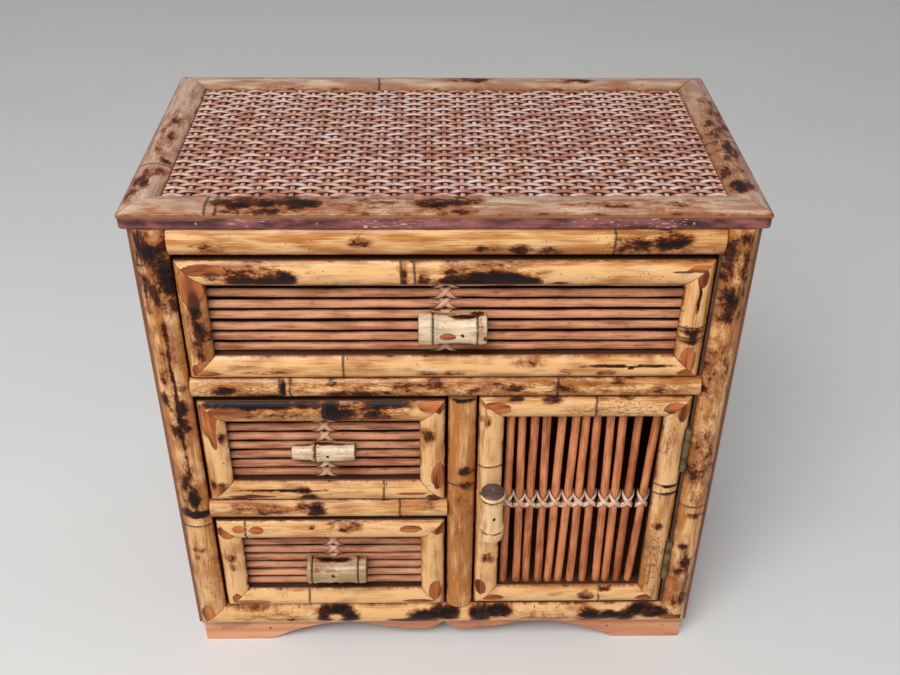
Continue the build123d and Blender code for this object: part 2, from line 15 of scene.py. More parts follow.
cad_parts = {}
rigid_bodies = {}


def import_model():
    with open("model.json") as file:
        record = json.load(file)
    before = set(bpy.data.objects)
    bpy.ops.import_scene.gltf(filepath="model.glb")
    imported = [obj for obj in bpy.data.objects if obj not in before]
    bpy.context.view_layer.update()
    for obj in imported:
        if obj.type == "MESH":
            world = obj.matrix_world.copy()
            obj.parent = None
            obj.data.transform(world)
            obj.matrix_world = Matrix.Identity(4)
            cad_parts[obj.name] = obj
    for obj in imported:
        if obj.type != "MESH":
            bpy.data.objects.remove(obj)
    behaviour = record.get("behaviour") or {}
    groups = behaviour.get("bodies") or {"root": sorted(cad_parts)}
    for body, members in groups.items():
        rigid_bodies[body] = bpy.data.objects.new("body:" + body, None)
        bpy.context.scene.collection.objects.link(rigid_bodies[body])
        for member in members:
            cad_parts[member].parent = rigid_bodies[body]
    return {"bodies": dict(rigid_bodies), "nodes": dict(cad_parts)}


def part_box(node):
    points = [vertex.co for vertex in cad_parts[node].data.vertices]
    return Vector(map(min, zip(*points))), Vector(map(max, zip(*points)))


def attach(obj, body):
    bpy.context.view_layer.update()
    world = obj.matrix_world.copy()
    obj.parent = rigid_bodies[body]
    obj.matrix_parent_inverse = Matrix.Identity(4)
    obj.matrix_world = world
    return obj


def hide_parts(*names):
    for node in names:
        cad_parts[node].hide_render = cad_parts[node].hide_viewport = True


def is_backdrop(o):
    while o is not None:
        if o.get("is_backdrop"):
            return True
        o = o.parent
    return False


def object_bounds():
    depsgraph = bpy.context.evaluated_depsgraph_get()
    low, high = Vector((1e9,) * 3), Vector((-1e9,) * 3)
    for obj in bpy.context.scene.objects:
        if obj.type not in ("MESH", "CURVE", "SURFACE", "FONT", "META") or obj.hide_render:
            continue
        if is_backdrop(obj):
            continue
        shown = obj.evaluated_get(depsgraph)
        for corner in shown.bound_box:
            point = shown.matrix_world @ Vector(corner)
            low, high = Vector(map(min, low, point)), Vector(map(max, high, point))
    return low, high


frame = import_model()
cad_nodes = frame["nodes"]
cad_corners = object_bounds()
MM = 0.001

# %% [markdown]
# ## Measuring in millimetres
# Blender works in metres, but a maker thinks of this chest in millimetres. Shapes are modelled in
# millimetres and scaled down once, when a piece is finished. The front plane is where the bamboo
# lies on the wooden face frame.

# %% Node boxes in millimetres
def box_mm(*names):
    """Lowest and highest corner round one or more nodes at rest, in millimetres."""
    boxes = [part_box(name) for name in names]
    low = Vector(min(box[0][axis] for box in boxes) for axis in range(3))
    high = Vector(max(box[1][axis] for box in boxes) for axis in range(3))
    return low / MM, high / MM


FRONT = box_mm("face_frame")[0].y
FRONTWARD = Vector((0, -1, 0))
UPWARD = Vector((0, 0, 1))
RIGHTWARD = Vector((1, 0, 0))
print("front plane at y =", round(FRONT, 2), "mm")

# %% [markdown]
# ## The camera
# The photograph looks down on the chest from just above its front, so the top and the front show
# together. The place and the three angles were solved from the chest's straight edges. Roll is a
# turn about the line of sight, and the columns of a camera's matrix are right, up and backwards.

# %% Camera at the photograph's viewpoint
CAMERA_PLACE = Vector((-7.377, FRONT - 492.199, 600.883))
CAMERA_YAW = math.radians(-1.166)
CAMERA_PITCH = math.radians(35.237)
CAMERA_ROLL = math.radians(0.5397)
CAMERA_LENS = 43.416
SENSOR_WIDTH = 36.0
NEAREST_SEEN = 0.01

level = math.cos(CAMERA_PITCH)
ahead = Vector((
    -math.sin(CAMERA_YAW) * level, math.cos(CAMERA_YAW) * level, -math.sin(CAMERA_PITCH),
))
level_right = Vector((math.cos(CAMERA_YAW), math.sin(CAMERA_YAW), 0))
level_up = level_right.cross(ahead)
right = math.cos(CAMERA_ROLL) * level_right + math.sin(CAMERA_ROLL) * level_up
up = math.cos(CAMERA_ROLL) * level_up - math.sin(CAMERA_ROLL) * level_right

lens = bpy.data.cameras.new("photo_camera")
lens.lens = CAMERA_LENS
lens.sensor_width = SENSOR_WIDTH
lens.clip_start = NEAREST_SEEN
camera = bpy.data.objects.new("photo_camera", lens)
turned = Matrix((right, up, -ahead)).transposed().to_4x4()
camera.matrix_world = Matrix.Translation(CAMERA_PLACE * MM) @ turned
bpy.context.scene.collection.objects.link(camera)
bpy.context.scene.camera = camera
print("camera lens", lens.lens, "mm")

# %% [markdown]
# ## Wiring helpers
# A material is a small graph of nodes. These helpers each add one kind of node and hand back its
# output, so that a finish below reads like a recipe. Streaks are noise that is drawn out along the
# grain, which is how bamboo, rattan and wood all look up close.

# %% Helpers that place nodes
def add(tree, kind, settings=None, feeds=None):
    """Place a node, set its options, and feed its inputs with values or other nodes' outputs."""
    node = tree.nodes.new(kind)
    for name, value in (settings or {}).items():
        setattr(node, name, value)
    for key, value in (feeds or {}).items():
        if isinstance(value, bpy.types.NodeSocket):
            tree.links.new(value, node.inputs[key])
        else:
            node.inputs[key].default_value = value
    return node


def calc(tree, operation, *values):
    """One sum on values that change over the surface."""
    return add(tree, "ShaderNodeMath", {"operation": operation}, dict(enumerate(values))).outputs[0]


def plus(tree, first, second):
    """Two values added."""
    return calc(tree, "ADD", first, second)


def times(tree, first, second):
    """Two values multiplied."""
    return calc(tree, "MULTIPLY", first, second)


def scaled(tree, value, factor, shift):
    """A value multiplied by a factor, then shifted."""
    return calc(tree, "MULTIPLY_ADD", value, factor, shift)


def tint(tree, share, under, over):
    """Lay one colour over another by a share from 0 to 1."""
    feeds = {0: share, 6: under, 7: over}
    return add(tree, "ShaderNodeMix", {"data_type": "RGBA"}, feeds).outputs[2]


def fade(tree, value, low, high):
    """A soft mask: 0 where the value is below low, 1 where it is above high."""
    feeds = {"Value": value, "From Min": low, "From Max": high}
    return add(tree, "ShaderNodeMapRange", {"interpolation_type": "SMOOTHSTEP"}, feeds).outputs[0]


def swing(tree, value, amount):
    """Noise as a push to either side of zero; noise seldom strays far from a half."""
    return times(tree, calc(tree, "SUBTRACT", value, 0.5), amount)


def painted(tree, name):
    """A value that was painted on the mesh, point by point."""
    return add(tree, "ShaderNodeAttribute", {"attribute_name": name}).outputs["Fac"]


def colour(red, green, blue):
    """A colour as a node socket takes it, with its fourth number."""
    return (red, green, blue, 1.0)


# %% Helpers for streaks, groups and finishes
GRAIN_UNIT = 100.0
OBJECT_UNIT = 1000.0
RELIEF_STRENGTH = 0.6


def on_grain(tree):
    """Where a point lies along and across the grain that its piece carries."""
    return add(tree, "ShaderNodeUVMap", {"uv_map": "grain"}).outputs[0]


def on_object(tree):
    """Where a point lies in its object, in metres."""
    return add(tree, "ShaderNodeTexCoord").outputs["Object"]


def streaks(tree, vector, length, width, detail=2.0, unit=GRAIN_UNIT):
    """Noise with marks of about this length and width in millimetres."""
    scale = (unit / length, unit / width, unit / width)
    stretched = add(tree, "ShaderNodeMapping", None, {"Vector": vector, "Scale": scale})
    feeds = {"Vector": stretched.outputs[0], "Scale": 1.0, "Detail": detail}
    return add(tree, "ShaderNodeTexNoise", None, feeds).outputs[0]


def varied_tone(tree, *pushes):
    """The painted tone, pushed up and down by noises, each by its own amount."""
    tone = painted(tree, "tone")
    for value, amount in pushes:
        tone = plus(tree, swing(tree, value, amount), tone)
    return tone


def start_group(name, inputs, outputs):
    """An empty node group with named sockets, and its two ends."""
    tree = bpy.data.node_groups.new(name, "ShaderNodeTree")
    for label, kind in inputs:
        tree.interface.new_socket(name=label, in_out="INPUT", socket_type=kind)
    for label, kind in outputs:
        tree.interface.new_socket(name=label, in_out="OUTPUT", socket_type=kind)
    return tree, tree.nodes.new("NodeGroupInput").outputs, tree.nodes.new("NodeGroupOutput").inputs


def start_finish(name, **fixed):
    """A new material with its shader; fixed holds values that are the same all over."""
    finish = bpy.data.materials.new(name)
    finish.use_nodes = True
    shader = finish.node_tree.nodes["Principled BSDF"]
    for label, value in fixed.items():
        shader.inputs[label.replace("_", " ")].default_value = value
    return finish, finish.node_tree, shader


def wire(tree, shader, face, rough=None, height=None, depth=0.0):
    """Link a finish's colour and, where given, its roughness and a relief this many millimetres deep."""
    tree.links.new(face, shader.inputs["Base Color"])
    if rough is not None:
        tree.links.new(rough, shader.inputs["Roughness"])
    if height is not None:
        feeds = {"Height": height, "Distance": depth * MM, "Strength": RELIEF_STRENGTH}
        bump = add(tree, "ShaderNodeBump", None, feeds)
        tree.links.new(bump.outputs[0], shader.inputs["Normal"])


# %% [markdown]
# ## Floor and light
# A plain pale floor keeps the eye on the chest, and the light is that of open shade: a bright world
# all round, a wide soft lamp high in front, and a weaker one from the left. The lamps' power is set so
# that a colour renders about as it is written.

# %% Floor
FLOOR_GREY = colour(0.66, 0.655, 0.635)
FLOOR_PALE = colour(0.71, 0.705, 0.685)
FLOOR_HALF = 4.0

floor_finish, floor_tree, floor_shader = start_finish("pale_floor", Roughness=0.75)
floor_cloud = streaks(floor_tree, on_object(floor_tree), 400.0, 120.0, 3.0, OBJECT_UNIT)
wire(floor_tree, floor_shader, tint(floor_tree, floor_cloud, FLOOR_GREY, FLOOR_PALE))

shape = bmesh.new()
bmesh.ops.create_grid(shape, x_segments=4, y_segments=4, size=FLOOR_HALF)
floor_mesh = bpy.data.meshes.new("floor")
shape.to_mesh(floor_mesh)
shape.free()
floor_mesh.materials.append(floor_finish)
floor = bpy.data.objects.new("floor", floor_mesh)
bpy.context.scene.collection.objects.link(floor)
floor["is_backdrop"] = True
print("floor", floor.dimensions[0], "m wide")

# %% World and lamps
SKY_COLOUR = colour(0.96, 0.97, 1.0)
SKY_STRENGTH = 0.40
LAMP_AIM = Vector((0, 0, 0.17))
LAMPS = {
    "high_front": ((-0.35, -0.95, 1.5), 0.9, 24.0),
    "left_fill": ((-1.3, -0.7, 0.6), 1.0, 4.0),
}

world = bpy.data.worlds.new("open_shade")
bpy.context.scene.world = world
world.use_nodes = True
sky = world.node_tree.nodes["Background"].inputs
sky["Color"].default_value = SKY_COLOUR
sky["Strength"].default_value = SKY_STRENGTH
for lamp_name, (place, size, power) in LAMPS.items():
    light = bpy.data.lights.new(lamp_name, "AREA")
    light.size = size
    light.energy = power
    lamp = bpy.data.objects.new(lamp_name, light)
    lamp.location = place
    lamp.rotation_euler = (LAMP_AIM - lamp.location).to_track_quat("-Z", "Y").to_euler()
    bpy.context.scene.collection.objects.link(lamp)
bpy.context.scene.view_settings.view_transform = "Standard"
print("lamps:", list(LAMPS))

# %% [markdown]
# ## Scorched bamboo skin
# The maker scorches the culms with a torch before splitting them: honey skin turns brown, then black,
# and here and there the skin peels off and shows red wood. A photo texture would do it, but then the
# marks could not follow each strip. Instead the strips carry painted values, named scorch, peel, speck,
# ring, raw and tone, and this group turns them into colour. On the strips and pulls the raw value marks
# bare wood; on the rods, the cane and the weave the same value is painted shade. Noise is added to a
# value before it becomes a mask, which gives a burn its ragged border at any distance. The group also
# hands out a gloss, because the varnish is dull where the skin is burnt or gone.

# %% Skin group, from the clean skin to its specks
STAIN_BROWN = colour(0.29, 0.10, 0.024)
RUBBED_SHEEN_PALE = colour(0.84, 0.62, 0.38)
MOTTLE_BROWN = colour(0.16, 0.065, 0.02)
SPECK_BLACK = colour(0.07, 0.026, 0.012)
SPECK_SIZE = 1.5

skin, skin_in, skin_out = start_group(
    "bamboo_skin",
    [("Grain", "NodeSocketVector"), ("Pale", "NodeSocketColor"), ("Amber", "NodeSocketColor")],
    [("Colour", "NodeSocketColor"), ("Roughness", "NodeSocketFloat"), ("Gloss", "NodeSocketFloat"),
     ("Height", "NodeSocketFloat")],
)
grain = skin_in["Grain"]
fibre = streaks(skin, grain, 16.0, 0.32, 3.0)
cloud = streaks(skin, grain, 34.0, 7.0)
fine_lines = streaks(skin, grain, 45.0, 0.9)
warm = varied_tone(skin, (cloud, 2.5), (fibre, 1.4), (fine_lines, 1.0))
honey = tint(skin, fade(skin, warm, 0.0, 1.0), skin_in["Pale"], skin_in["Amber"])
stain = fade(skin, streaks(skin, grain, 24.0, 6.0, 5.0), 0.52, 0.68)
honey = tint(skin, times(skin, stain, 0.6), honey, STAIN_BROWN)
# Pale streaks: partly rubbed wear, partly a painted sheen of the sky on the varnish.
rubbed = fade(skin, streaks(skin, grain, 30.0, 4.0, 4.0), 0.55, 0.70)
honey = tint(skin, times(skin, rubbed, 0.4), honey, RUBBED_SHEEN_PALE)

cells = add(skin, "ShaderNodeTexVoronoi", None, {"Vector": grain, "Scale": GRAIN_UNIT / SPECK_SIZE})
chosen = add(skin, "ShaderNodeSeparateColor", None, {0: cells.outputs["Color"]}).outputs[0]
speck = painted(skin, "speck")
is_speck = calc(skin, "LESS_THAN", chosen, scaled(skin, speck, 0.62, 0.035))
dot = calc(skin, "SUBTRACT", 1.0, fade(skin, cells.outputs["Distance"], 0.16, 0.34))
mottle = fade(skin, streaks(skin, grain, 4.0, 1.1, 4.0), 0.48, 0.62)
honey = tint(skin, times(skin, mottle, times(skin, speck, 0.8)), honey, MOTTLE_BROWN)
honey = tint(skin, times(skin, is_speck, dot), honey, SPECK_BLACK)
print("skin group: clean skin and specks")

# %% Skin group, scorching, rings and peeled patches
TOAST_BROWN = colour(0.27, 0.080, 0.015)
BURN_BROWN = colour(0.064, 0.014, 0.004)
CHAR_BLACK = colour(0.010, 0.005, 0.0045)
RING_BLACK = colour(0.035, 0.016, 0.01)
PEEL_RIM = colour(0.05, 0.018, 0.009)
RED_DARK, RED_PALE = colour(0.12, 0.026, 0.010), colour(0.54, 0.165, 0.046)
RED_BURNT = colour(0.085, 0.022, 0.011)
RAW_DARK, RAW_PALE = colour(0.14, 0.05, 0.018), colour(0.42, 0.185, 0.065)
MARK_GRIP = 3.0


def roughened(mark, push):
    """A painted mark with a ragged border: noise pushes it, but only where there is some mark."""
    grip = calc(skin, "MINIMUM", times(skin, mark, MARK_GRIP), 1.0)
    return scaled(skin, push, grip, mark)


ragged = streaks(skin, grain, 10.0, 5.0, 3.0)
crumbs = streaks(skin, grain, 2.4, 1.1, 4.0)
scorch = painted(skin, "scorch")
burn = roughened(scorch, plus(skin, swing(skin, ragged, 2.2), swing(skin, crumbs, 1.1)))
toasted = times(skin, fade(skin, burn, 0.0, 0.48), 0.86)
browned = fade(skin, burn, 0.44, 0.76)
charred = fade(skin, burn, 0.82, 1.08)
burnt = tint(skin, toasted, honey, TOAST_BROWN)
burnt = tint(skin, browned, burnt, BURN_BROWN)
burnt = tint(skin, charred, burnt, CHAR_BLACK)
ring_break = fade(skin, streaks(skin, grain, 2.0, 2.6, 3.0), 0.30, 0.46)
burnt = tint(skin, times(skin, painted(skin, "ring"), ring_break), burnt, RING_BLACK)

flakes = streaks(skin, grain, 7.0, 3.0)
peel_push = plus(skin, swing(skin, flakes, 0.8), swing(skin, crumbs, 0.15))
peel = roughened(painted(skin, "peel"), peel_push)
bared = fade(skin, peel, 0.50, 0.56)
rim = calc(skin, "SUBTRACT", fade(skin, peel, 0.40, 0.48), bared)
figure = plus(skin, swing(skin, cloud, 1.5), fibre)
red_wood = tint(skin, fade(skin, figure, 0.25, 0.75), RED_DARK, RED_PALE)
red_wood = tint(skin, fade(skin, scorch, 0.1, 0.9), red_wood, RED_BURNT)
burnt = tint(skin, times(skin, rim, 0.85), burnt, PEEL_RIM)
burnt = tint(skin, bared, burnt, red_wood)
print("skin group: burns, rings and peeled patches")

# %% Skin group, what it hands out
raw = painted(skin, "raw")
bare = calc(skin, "MAXIMUM", bared, raw)
dulled = calc(skin, "MAXIMUM", browned, bare)
satin = scaled(skin, fibre, 0.2, 0.28)
relief = scaled(skin, bare, -0.8, times(skin, fibre, 0.30))
results = {
    "Colour": tint(skin, raw, burnt, tint(skin, fibre, RAW_DARK, RAW_PALE)),
    "Gloss": scaled(skin, dulled, -0.9, 1.0),
    "Roughness": scaled(skin, bare, 0.26, satin),
    "Height": scaled(skin, charred, times(skin, ragged, -0.5), relief),
}
for label, value in results.items():
    skin.links.new(value, skin_out[label])
print("skin group:", len(skin.nodes), "nodes, hands out", list(results))


# %% Bamboo finishes made from the group
def bamboo_finish(name, pale, amber, coat):
    """Varnished bamboo; pale and amber are the two ends of its clean colour."""
    finish, tree, shader = start_finish(name, Coat_Roughness=0.2, Specular_IOR_Level=0.12)
    feeds = {"Grain": on_grain(tree), "Pale": pale, "Amber": amber}
    made = add(tree, "ShaderNodeGroup", {"node_tree": skin}, feeds).outputs
    wire(tree, shader, made["Colour"], made["Roughness"], made["Height"], 0.35)
    tree.links.new(times(tree, made["Gloss"], coat), shader.inputs["Coat Weight"])
    return finish


burnt_bamboo = bamboo_finish("burnt_bamboo", colour(0.78, 0.445, 0.187), colour(0.41, 0.142, 0.023), 0.35)
pull_bamboo = bamboo_finish("pull_bamboo", colour(0.70, 0.54, 0.36), colour(0.33, 0.215, 0.10), 0.3)
knob_bamboo = bamboo_finish("knob_bamboo", colour(0.82, 0.54, 0.28), colour(0.50, 0.25, 0.085), 0.3)
print("bamboo finishes:", burnt_bamboo.name, pull_bamboo.name, knob_bamboo.name)

# %% [markdown]
# ## Finishing a piece
# Each piece is shaped as a bmesh in millimetres. This helper scales it to metres, gives it its material,
# hides the CAD node that it stands for, and lets it ride on its body, so that it moves with
# the drawer or door that it belongs to. Edges that turn sharply stay crisp; the rest is shaded smooth.

# %% Helpers that finish and join shapes
CRISP = math.radians(48)


def finish_piece(name, shape, finish, body, slot, *replaced):
    """Make a bmesh in millimetres into a piece that rides on a body."""
    bmesh.ops.scale(shape, vec=(MM, MM, MM), verts=shape.verts)
    mesh = bpy.data.meshes.new(name)
    shape.to_mesh(mesh)
    shape.free()
    mesh.materials.append(finish)
    mesh.polygons.foreach_set("use_smooth", [True] * len(mesh.polygons))
    mesh.set_sharp_from_angle(angle=CRISP)
    piece = bpy.data.objects.new(name, mesh)
    bpy.context.scene.collection.objects.link(piece)
    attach(piece, body)
    if replaced:
        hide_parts(*replaced)
    return piece


def join(shapes):
    """One bmesh that holds several, with their painted values and grain."""
    whole = bmesh.new()
    for part in shapes:
        carrier = bpy.data.meshes.new("carrier")
        part.to_mesh(carrier)
        part.free()
        whole.from_mesh(carrier)
        bpy.data.meshes.remove(carrier)
    return whole


def laid(start, along, facing):
    """A place for a shape that runs along its X and faces along its Z."""
    across = facing.cross(along)
    turn = Matrix((along, across, facing)).transposed().to_4x4()
    return Matrix.Translation(start) @ turn


# %% [markdown]
# ## A strip of split bamboo
# Each strip is a slice of a round culm: a bowed skin, two thin split edges, and rings where leaves
# once grew. It could be a cylinder cut by booleans, but a flat grid is easier to steer: planes cut it
# to its mitres and add columns at each ring, then its points are lifted onto the culm's curve, and its
# border is extruded down to the wood and closed. A fine bevel softens the split edges.

# %% Curve of a strip's skin
RING_WAVER = 0.7
RIDGE_HEIGHT, RIDGE_PLACE, RIDGE_WIDTH = 0.22, 1.2, 0.6
GROOVE_DEPTH, GROOVE_WIDTH = 0.42, 0.5
SKIN_WAVE = 0.16
CRACK_REACH = 0.62
CRACK_WAVER = 0.5


def bell(distance, width):
    """A smooth hump: 1 at no distance, and close to 0 at twice the width."""
    return math.exp(-(distance / width) ** 2)


def ring_lines(rings):
    """Dark lines of the rings: a ring with a gap has one at each of its sides."""
    lines = []
    for place, gap in rings:
        lines += [place - gap / 2, place + gap / 2] if gap else [place]
    return lines


def off_line(along, across, line, seed):
    """Distance past a ring's line, which wavers across the strip."""
    return along - line - RING_WAVER * noise.noise(Vector((across * 0.16, line * 0.3, seed)))


def ring_relief(along, across, lines, seed):
    """Height that the rings add: a groove with a low ridge at each side."""
    height = 0.0
    for line in lines:
        past = off_line(along, across, line, seed)
        height += RIDGE_HEIGHT * bell(abs(past) - RIDGE_PLACE, RIDGE_WIDTH)
        height -= GROOVE_DEPTH * bell(past, GROOVE_WIDTH)
    return height


def skin_height(along, across, cut):
    """Height of the skin over the wood at one place on a strip."""
    half = cut["width"] / 2
    rise = cut["crown"] - cut["edge"]
    radius = (half ** 2 + rise ** 2) / (2 * rise)
    off_middle = min(abs(across + half), half)
    bow = cut["crown"] - radius + math.sqrt(radius ** 2 - off_middle ** 2)
    wave = noise.noise(Vector((along * 0.03, across * 0.12, cut["seed"])))
    return bow - SKIN_WAVE - SKIN_WAVE * wave + ring_relief(along, across, cut["lines"], cut["seed"])


def crack_share(along, across, cut):
    """How open a split along the grain is at one place, from 0 to 1."""
    share = 0.0
    for place, first, last in cut["cracks"]:
        waver = CRACK_WAVER * noise.noise(Vector((along * 0.09, place, 3.0)))
        if first < along < last and abs(across + place + waver) < CRACK_REACH:
            middle = (first + last) / 2
            share = max(share, 1 - (abs(along - middle) / (last - middle)) ** 4)
    return share


# %% Solid strip
COLUMN = 1.8
ROWS = 11
RING_CUTS = (-2.4, -1.6, -1.0, -0.5, 0.0, 0.5, 1.0, 1.6, 2.4)
CRACK_CUTS = (-0.45, 0, 0.45)
CRACK_DEPTH = 0.6
JOINT_GAP = 0.12
WELD = 0.22
BROW = 0.32


def slice_plane(shape, point, direction, clear=False):
    """Cut every face that a plane crosses; clear also takes away what lies beyond it."""
    everything = shape.verts[:] + shape.edges[:] + shape.faces[:]
    bmesh.ops.bisect_plane(shape, geom=everything, plane_co=point, plane_no=direction, clear_outer=clear)


def open_edges(shape):
    """Edges that have a face on one side only."""
    return [edge for edge in shape.edges if edge.is_boundary]


def bare_strip(length, setbacks, cut):
    """A strip along X with its outer edge on Y = 0, its skin up, and its ends mitred."""
    width = cut["width"]
    shape = bmesh.new()
    bmesh.ops.create_grid(shape, x_segments=round(length / COLUMN), y_segments=ROWS, size=0.5)
    bmesh.ops.scale(shape, vec=(length, width, 1), verts=shape.verts)
    bmesh.ops.translate(shape, vec=(length / 2, -width / 2, 0), verts=shape.verts)
    planes = [((line + shift, 0, 0), RIGHTWARD) for line in cut["lines"] for shift in RING_CUTS]
    for place, _, _ in cut["cracks"]:
        planes += [((0, -place + shift, 0), (0, 1, 0)) for shift in CRACK_CUTS]
    for first, last, depth in cut["notches"]:
        planes += [((first, 0, 0), RIGHTWARD), ((last, 0, 0), RIGHTWARD), ((0, -depth, 0), (0, 1, 0))]
    for point, direction in planes:
        slice_plane(shape, point, direction)
    slice_plane(shape, (JOINT_GAP, 0, 0), (-width, -setbacks[0], 0), clear=True)
    slice_plane(shape, (length - JOINT_GAP, 0, 0), (width, -setbacks[1], 0), clear=True)
    cut_out = []
    for face in shape.faces:
        middle = face.calc_center_median()
        if any(first < middle.x < last and middle.y > -depth for first, last, depth in cut["notches"]):
            cut_out.append(face)
    bmesh.ops.delete(shape, geom=cut_out, context="FACES")
    bmesh.ops.remove_doubles(shape, verts=shape.verts, dist=WELD)
    for point in shape.verts:
        along, across = point.co.x, point.co.y
        point.co.z = skin_height(along, across, cut) - CRACK_DEPTH * crack_share(along, across, cut)
    border = open_edges(shape)
    for point in bmesh.ops.extrude_edge_only(shape, edges=border)["geom"]:
        if isinstance(point, bmesh.types.BMVert):
            point.co.z = 0
    bmesh.ops.holes_fill(shape, edges=open_edges(shape), sides=0)
    bmesh.ops.recalc_face_normals(shape, faces=shape.faces)
    brows = [edge for edge in border if edge.is_valid]
    bmesh.ops.bevel(
        shape, geom=brows, offset=BROW, segments=2, profile=0.5, affect="EDGES",
        clamp_overlap=False, material=-1,
    )
    return shape


# %% [markdown]
# ## Painting the marks
# Burns, peeled patches and specks sit where the photograph shows them. Each is an oval: its place on the
# chest's face, its half width and half height in millimetres, and its strength. A strength below 0.5
# browns the skin, one near 1 chars it, and a negative one spares a pale island. The oval only steers the
# painting; the noise in the skin group gives it a natural border.

# %% Helpers that paint points
PAINTS = ("scorch", "peel", "speck", "ring", "raw", "tone")
MARK_KINDS = PAINTS[:3]
SPOT_REACH = 1.5
SPOT_FADE = 1.1
SIDESTEP = 0.37


def clamp(value, low, high):
    """A value kept between two limits."""
    return min(high, max(low, value))


def ease(share):
    """A share from 0 to 1 that starts and stops gently."""
    return share * share * (3 - 2 * share)


def spot_field(spots, along, across):
    """How strongly a list of spots marks one place."""
    strongest = 0.0
    spared = 0.0
    for spot_along, spot_across, half_length, half_width, strength in spots:
        reach = math.hypot((along - spot_along) / half_length, (across - spot_across) / half_width)
        if reach < SPOT_REACH:
            soft = ease(min(1.0, (SPOT_REACH - reach) / SPOT_FADE))
            strongest = max(strongest, strength * soft)
            spared = max(spared, -strength * soft)
    return max(0.0, strongest - spared)


def local_spots(spots, place, to_point):
    """Spots on the chest's face, turned into places along and across one strip."""
    back = place.inverted()
    turn = back.to_3x3()
    found = []
    for first, second, half_first, half_second, strength in spots:
        point = back @ to_point(first, second)
        half = turn @ (to_point(half_first, half_second) - to_point(0, 0))
        found.append((point.x, point.y, abs(half.x), abs(half.y), strength))
    return found


def paint(shape, values, unroll, shift):
    """Give each point its painted values, and each corner its place along and across the grain."""
    layers = {name: shape.verts.layers.float.new(name) for name in PAINTS}
    grain_layer = shape.loops.layers.uv.new("grain")
    for point in shape.verts:
        for name, value in values(point).items():
            point[layers[name]] = value
    for face in shape.faces:
        for corner in face.loops:
            along, across = unroll(corner.vert.co, face)
            corner[grain_layer].uv = ((along + shift) / GRAIN_UNIT, (across + SIDESTEP * shift) / GRAIN_UNIT)


# %% Painted strip
EDGE_DARKENING, EDGE_START = 0.42, 0.8
CRACK_SCORCH = 0.95
RING_SOFT = 0.75
RAW_START, RAW_FADE = 0.12, 0.3
TONE_MIDDLE, EDGE_SHADE_TONE = -0.06, 0.46
SEED_STEP = 7.3
GRAIN_STEP = 61.0
strip_count = 0


def strip(
    start, along, facing, length, width, crown, edge, setbacks, rings, tone, marks, to_point,
    cracks=(), notches=(),
):
    """One painted strip in its place, in millimetres."""
    global strip_count
    strip_count += 1
    lines = ring_lines([(share * length, gap) for share, gap in rings])
    cut = {
        "width": width, "crown": crown, "edge": edge, "lines": lines, "seed": SEED_STEP * strip_count,
        "cracks": cracks, "notches": notches,
    }
    shape = bare_strip(length, setbacks, cut)
    place = laid(start, along, facing)
    spots = {kind: local_spots(marks.get(kind, ()), place, to_point) for kind in MARK_KINDS}

    def values(point):
        x, y, height = point.co
        found = {kind: spot_field(spots[kind], x, y) for kind in spots}
        off_middle = abs(2 * y / width + 1)
        # The skin is darkened along its long edges, through the scorch value.
        darkened_edge = EDGE_DARKENING * max(0.0, (off_middle - EDGE_START) / (1 - EDGE_START))
        crack = crack_share(x, y, cut)
        found["scorch"] = max(found["scorch"], CRACK_SCORCH * crack, darkened_edge)
        gaps = [off_line(x, y, line, cut["seed"]) for line in lines]
        found["ring"] = max([bell(gap, RING_SOFT) for gap in gaps], default=0.0)
        below = skin_height(x, y, cut) - height
        found["raw"] = clamp((below - RAW_START) / RAW_FADE, 0.0, 1.0)
        if crack and height > edge:
            found["raw"] = 0.0
        # Painted shade: the tone deepens towards the long edges, where the curved skin turns away from the
        # light.
        found["tone"] = tone + TONE_MIDDLE + EDGE_SHADE_TONE * off_middle ** 3
        return found

    paint(shape, values, lambda point, face: (point.x, point.y - point.z), GRAIN_STEP * strip_count)
    bmesh.ops.transform(shape, matrix=place, verts=shape.verts)
    return shape


# %% [markdown]
# ## Facing of the case
# Seven strips cover the wooden face frame. The two stiles and the bottom rail meet in mitres,
# and the others butt between them. Each strip's length and width come from its node's box, so the strips
# follow the CAD part if its sizes change.

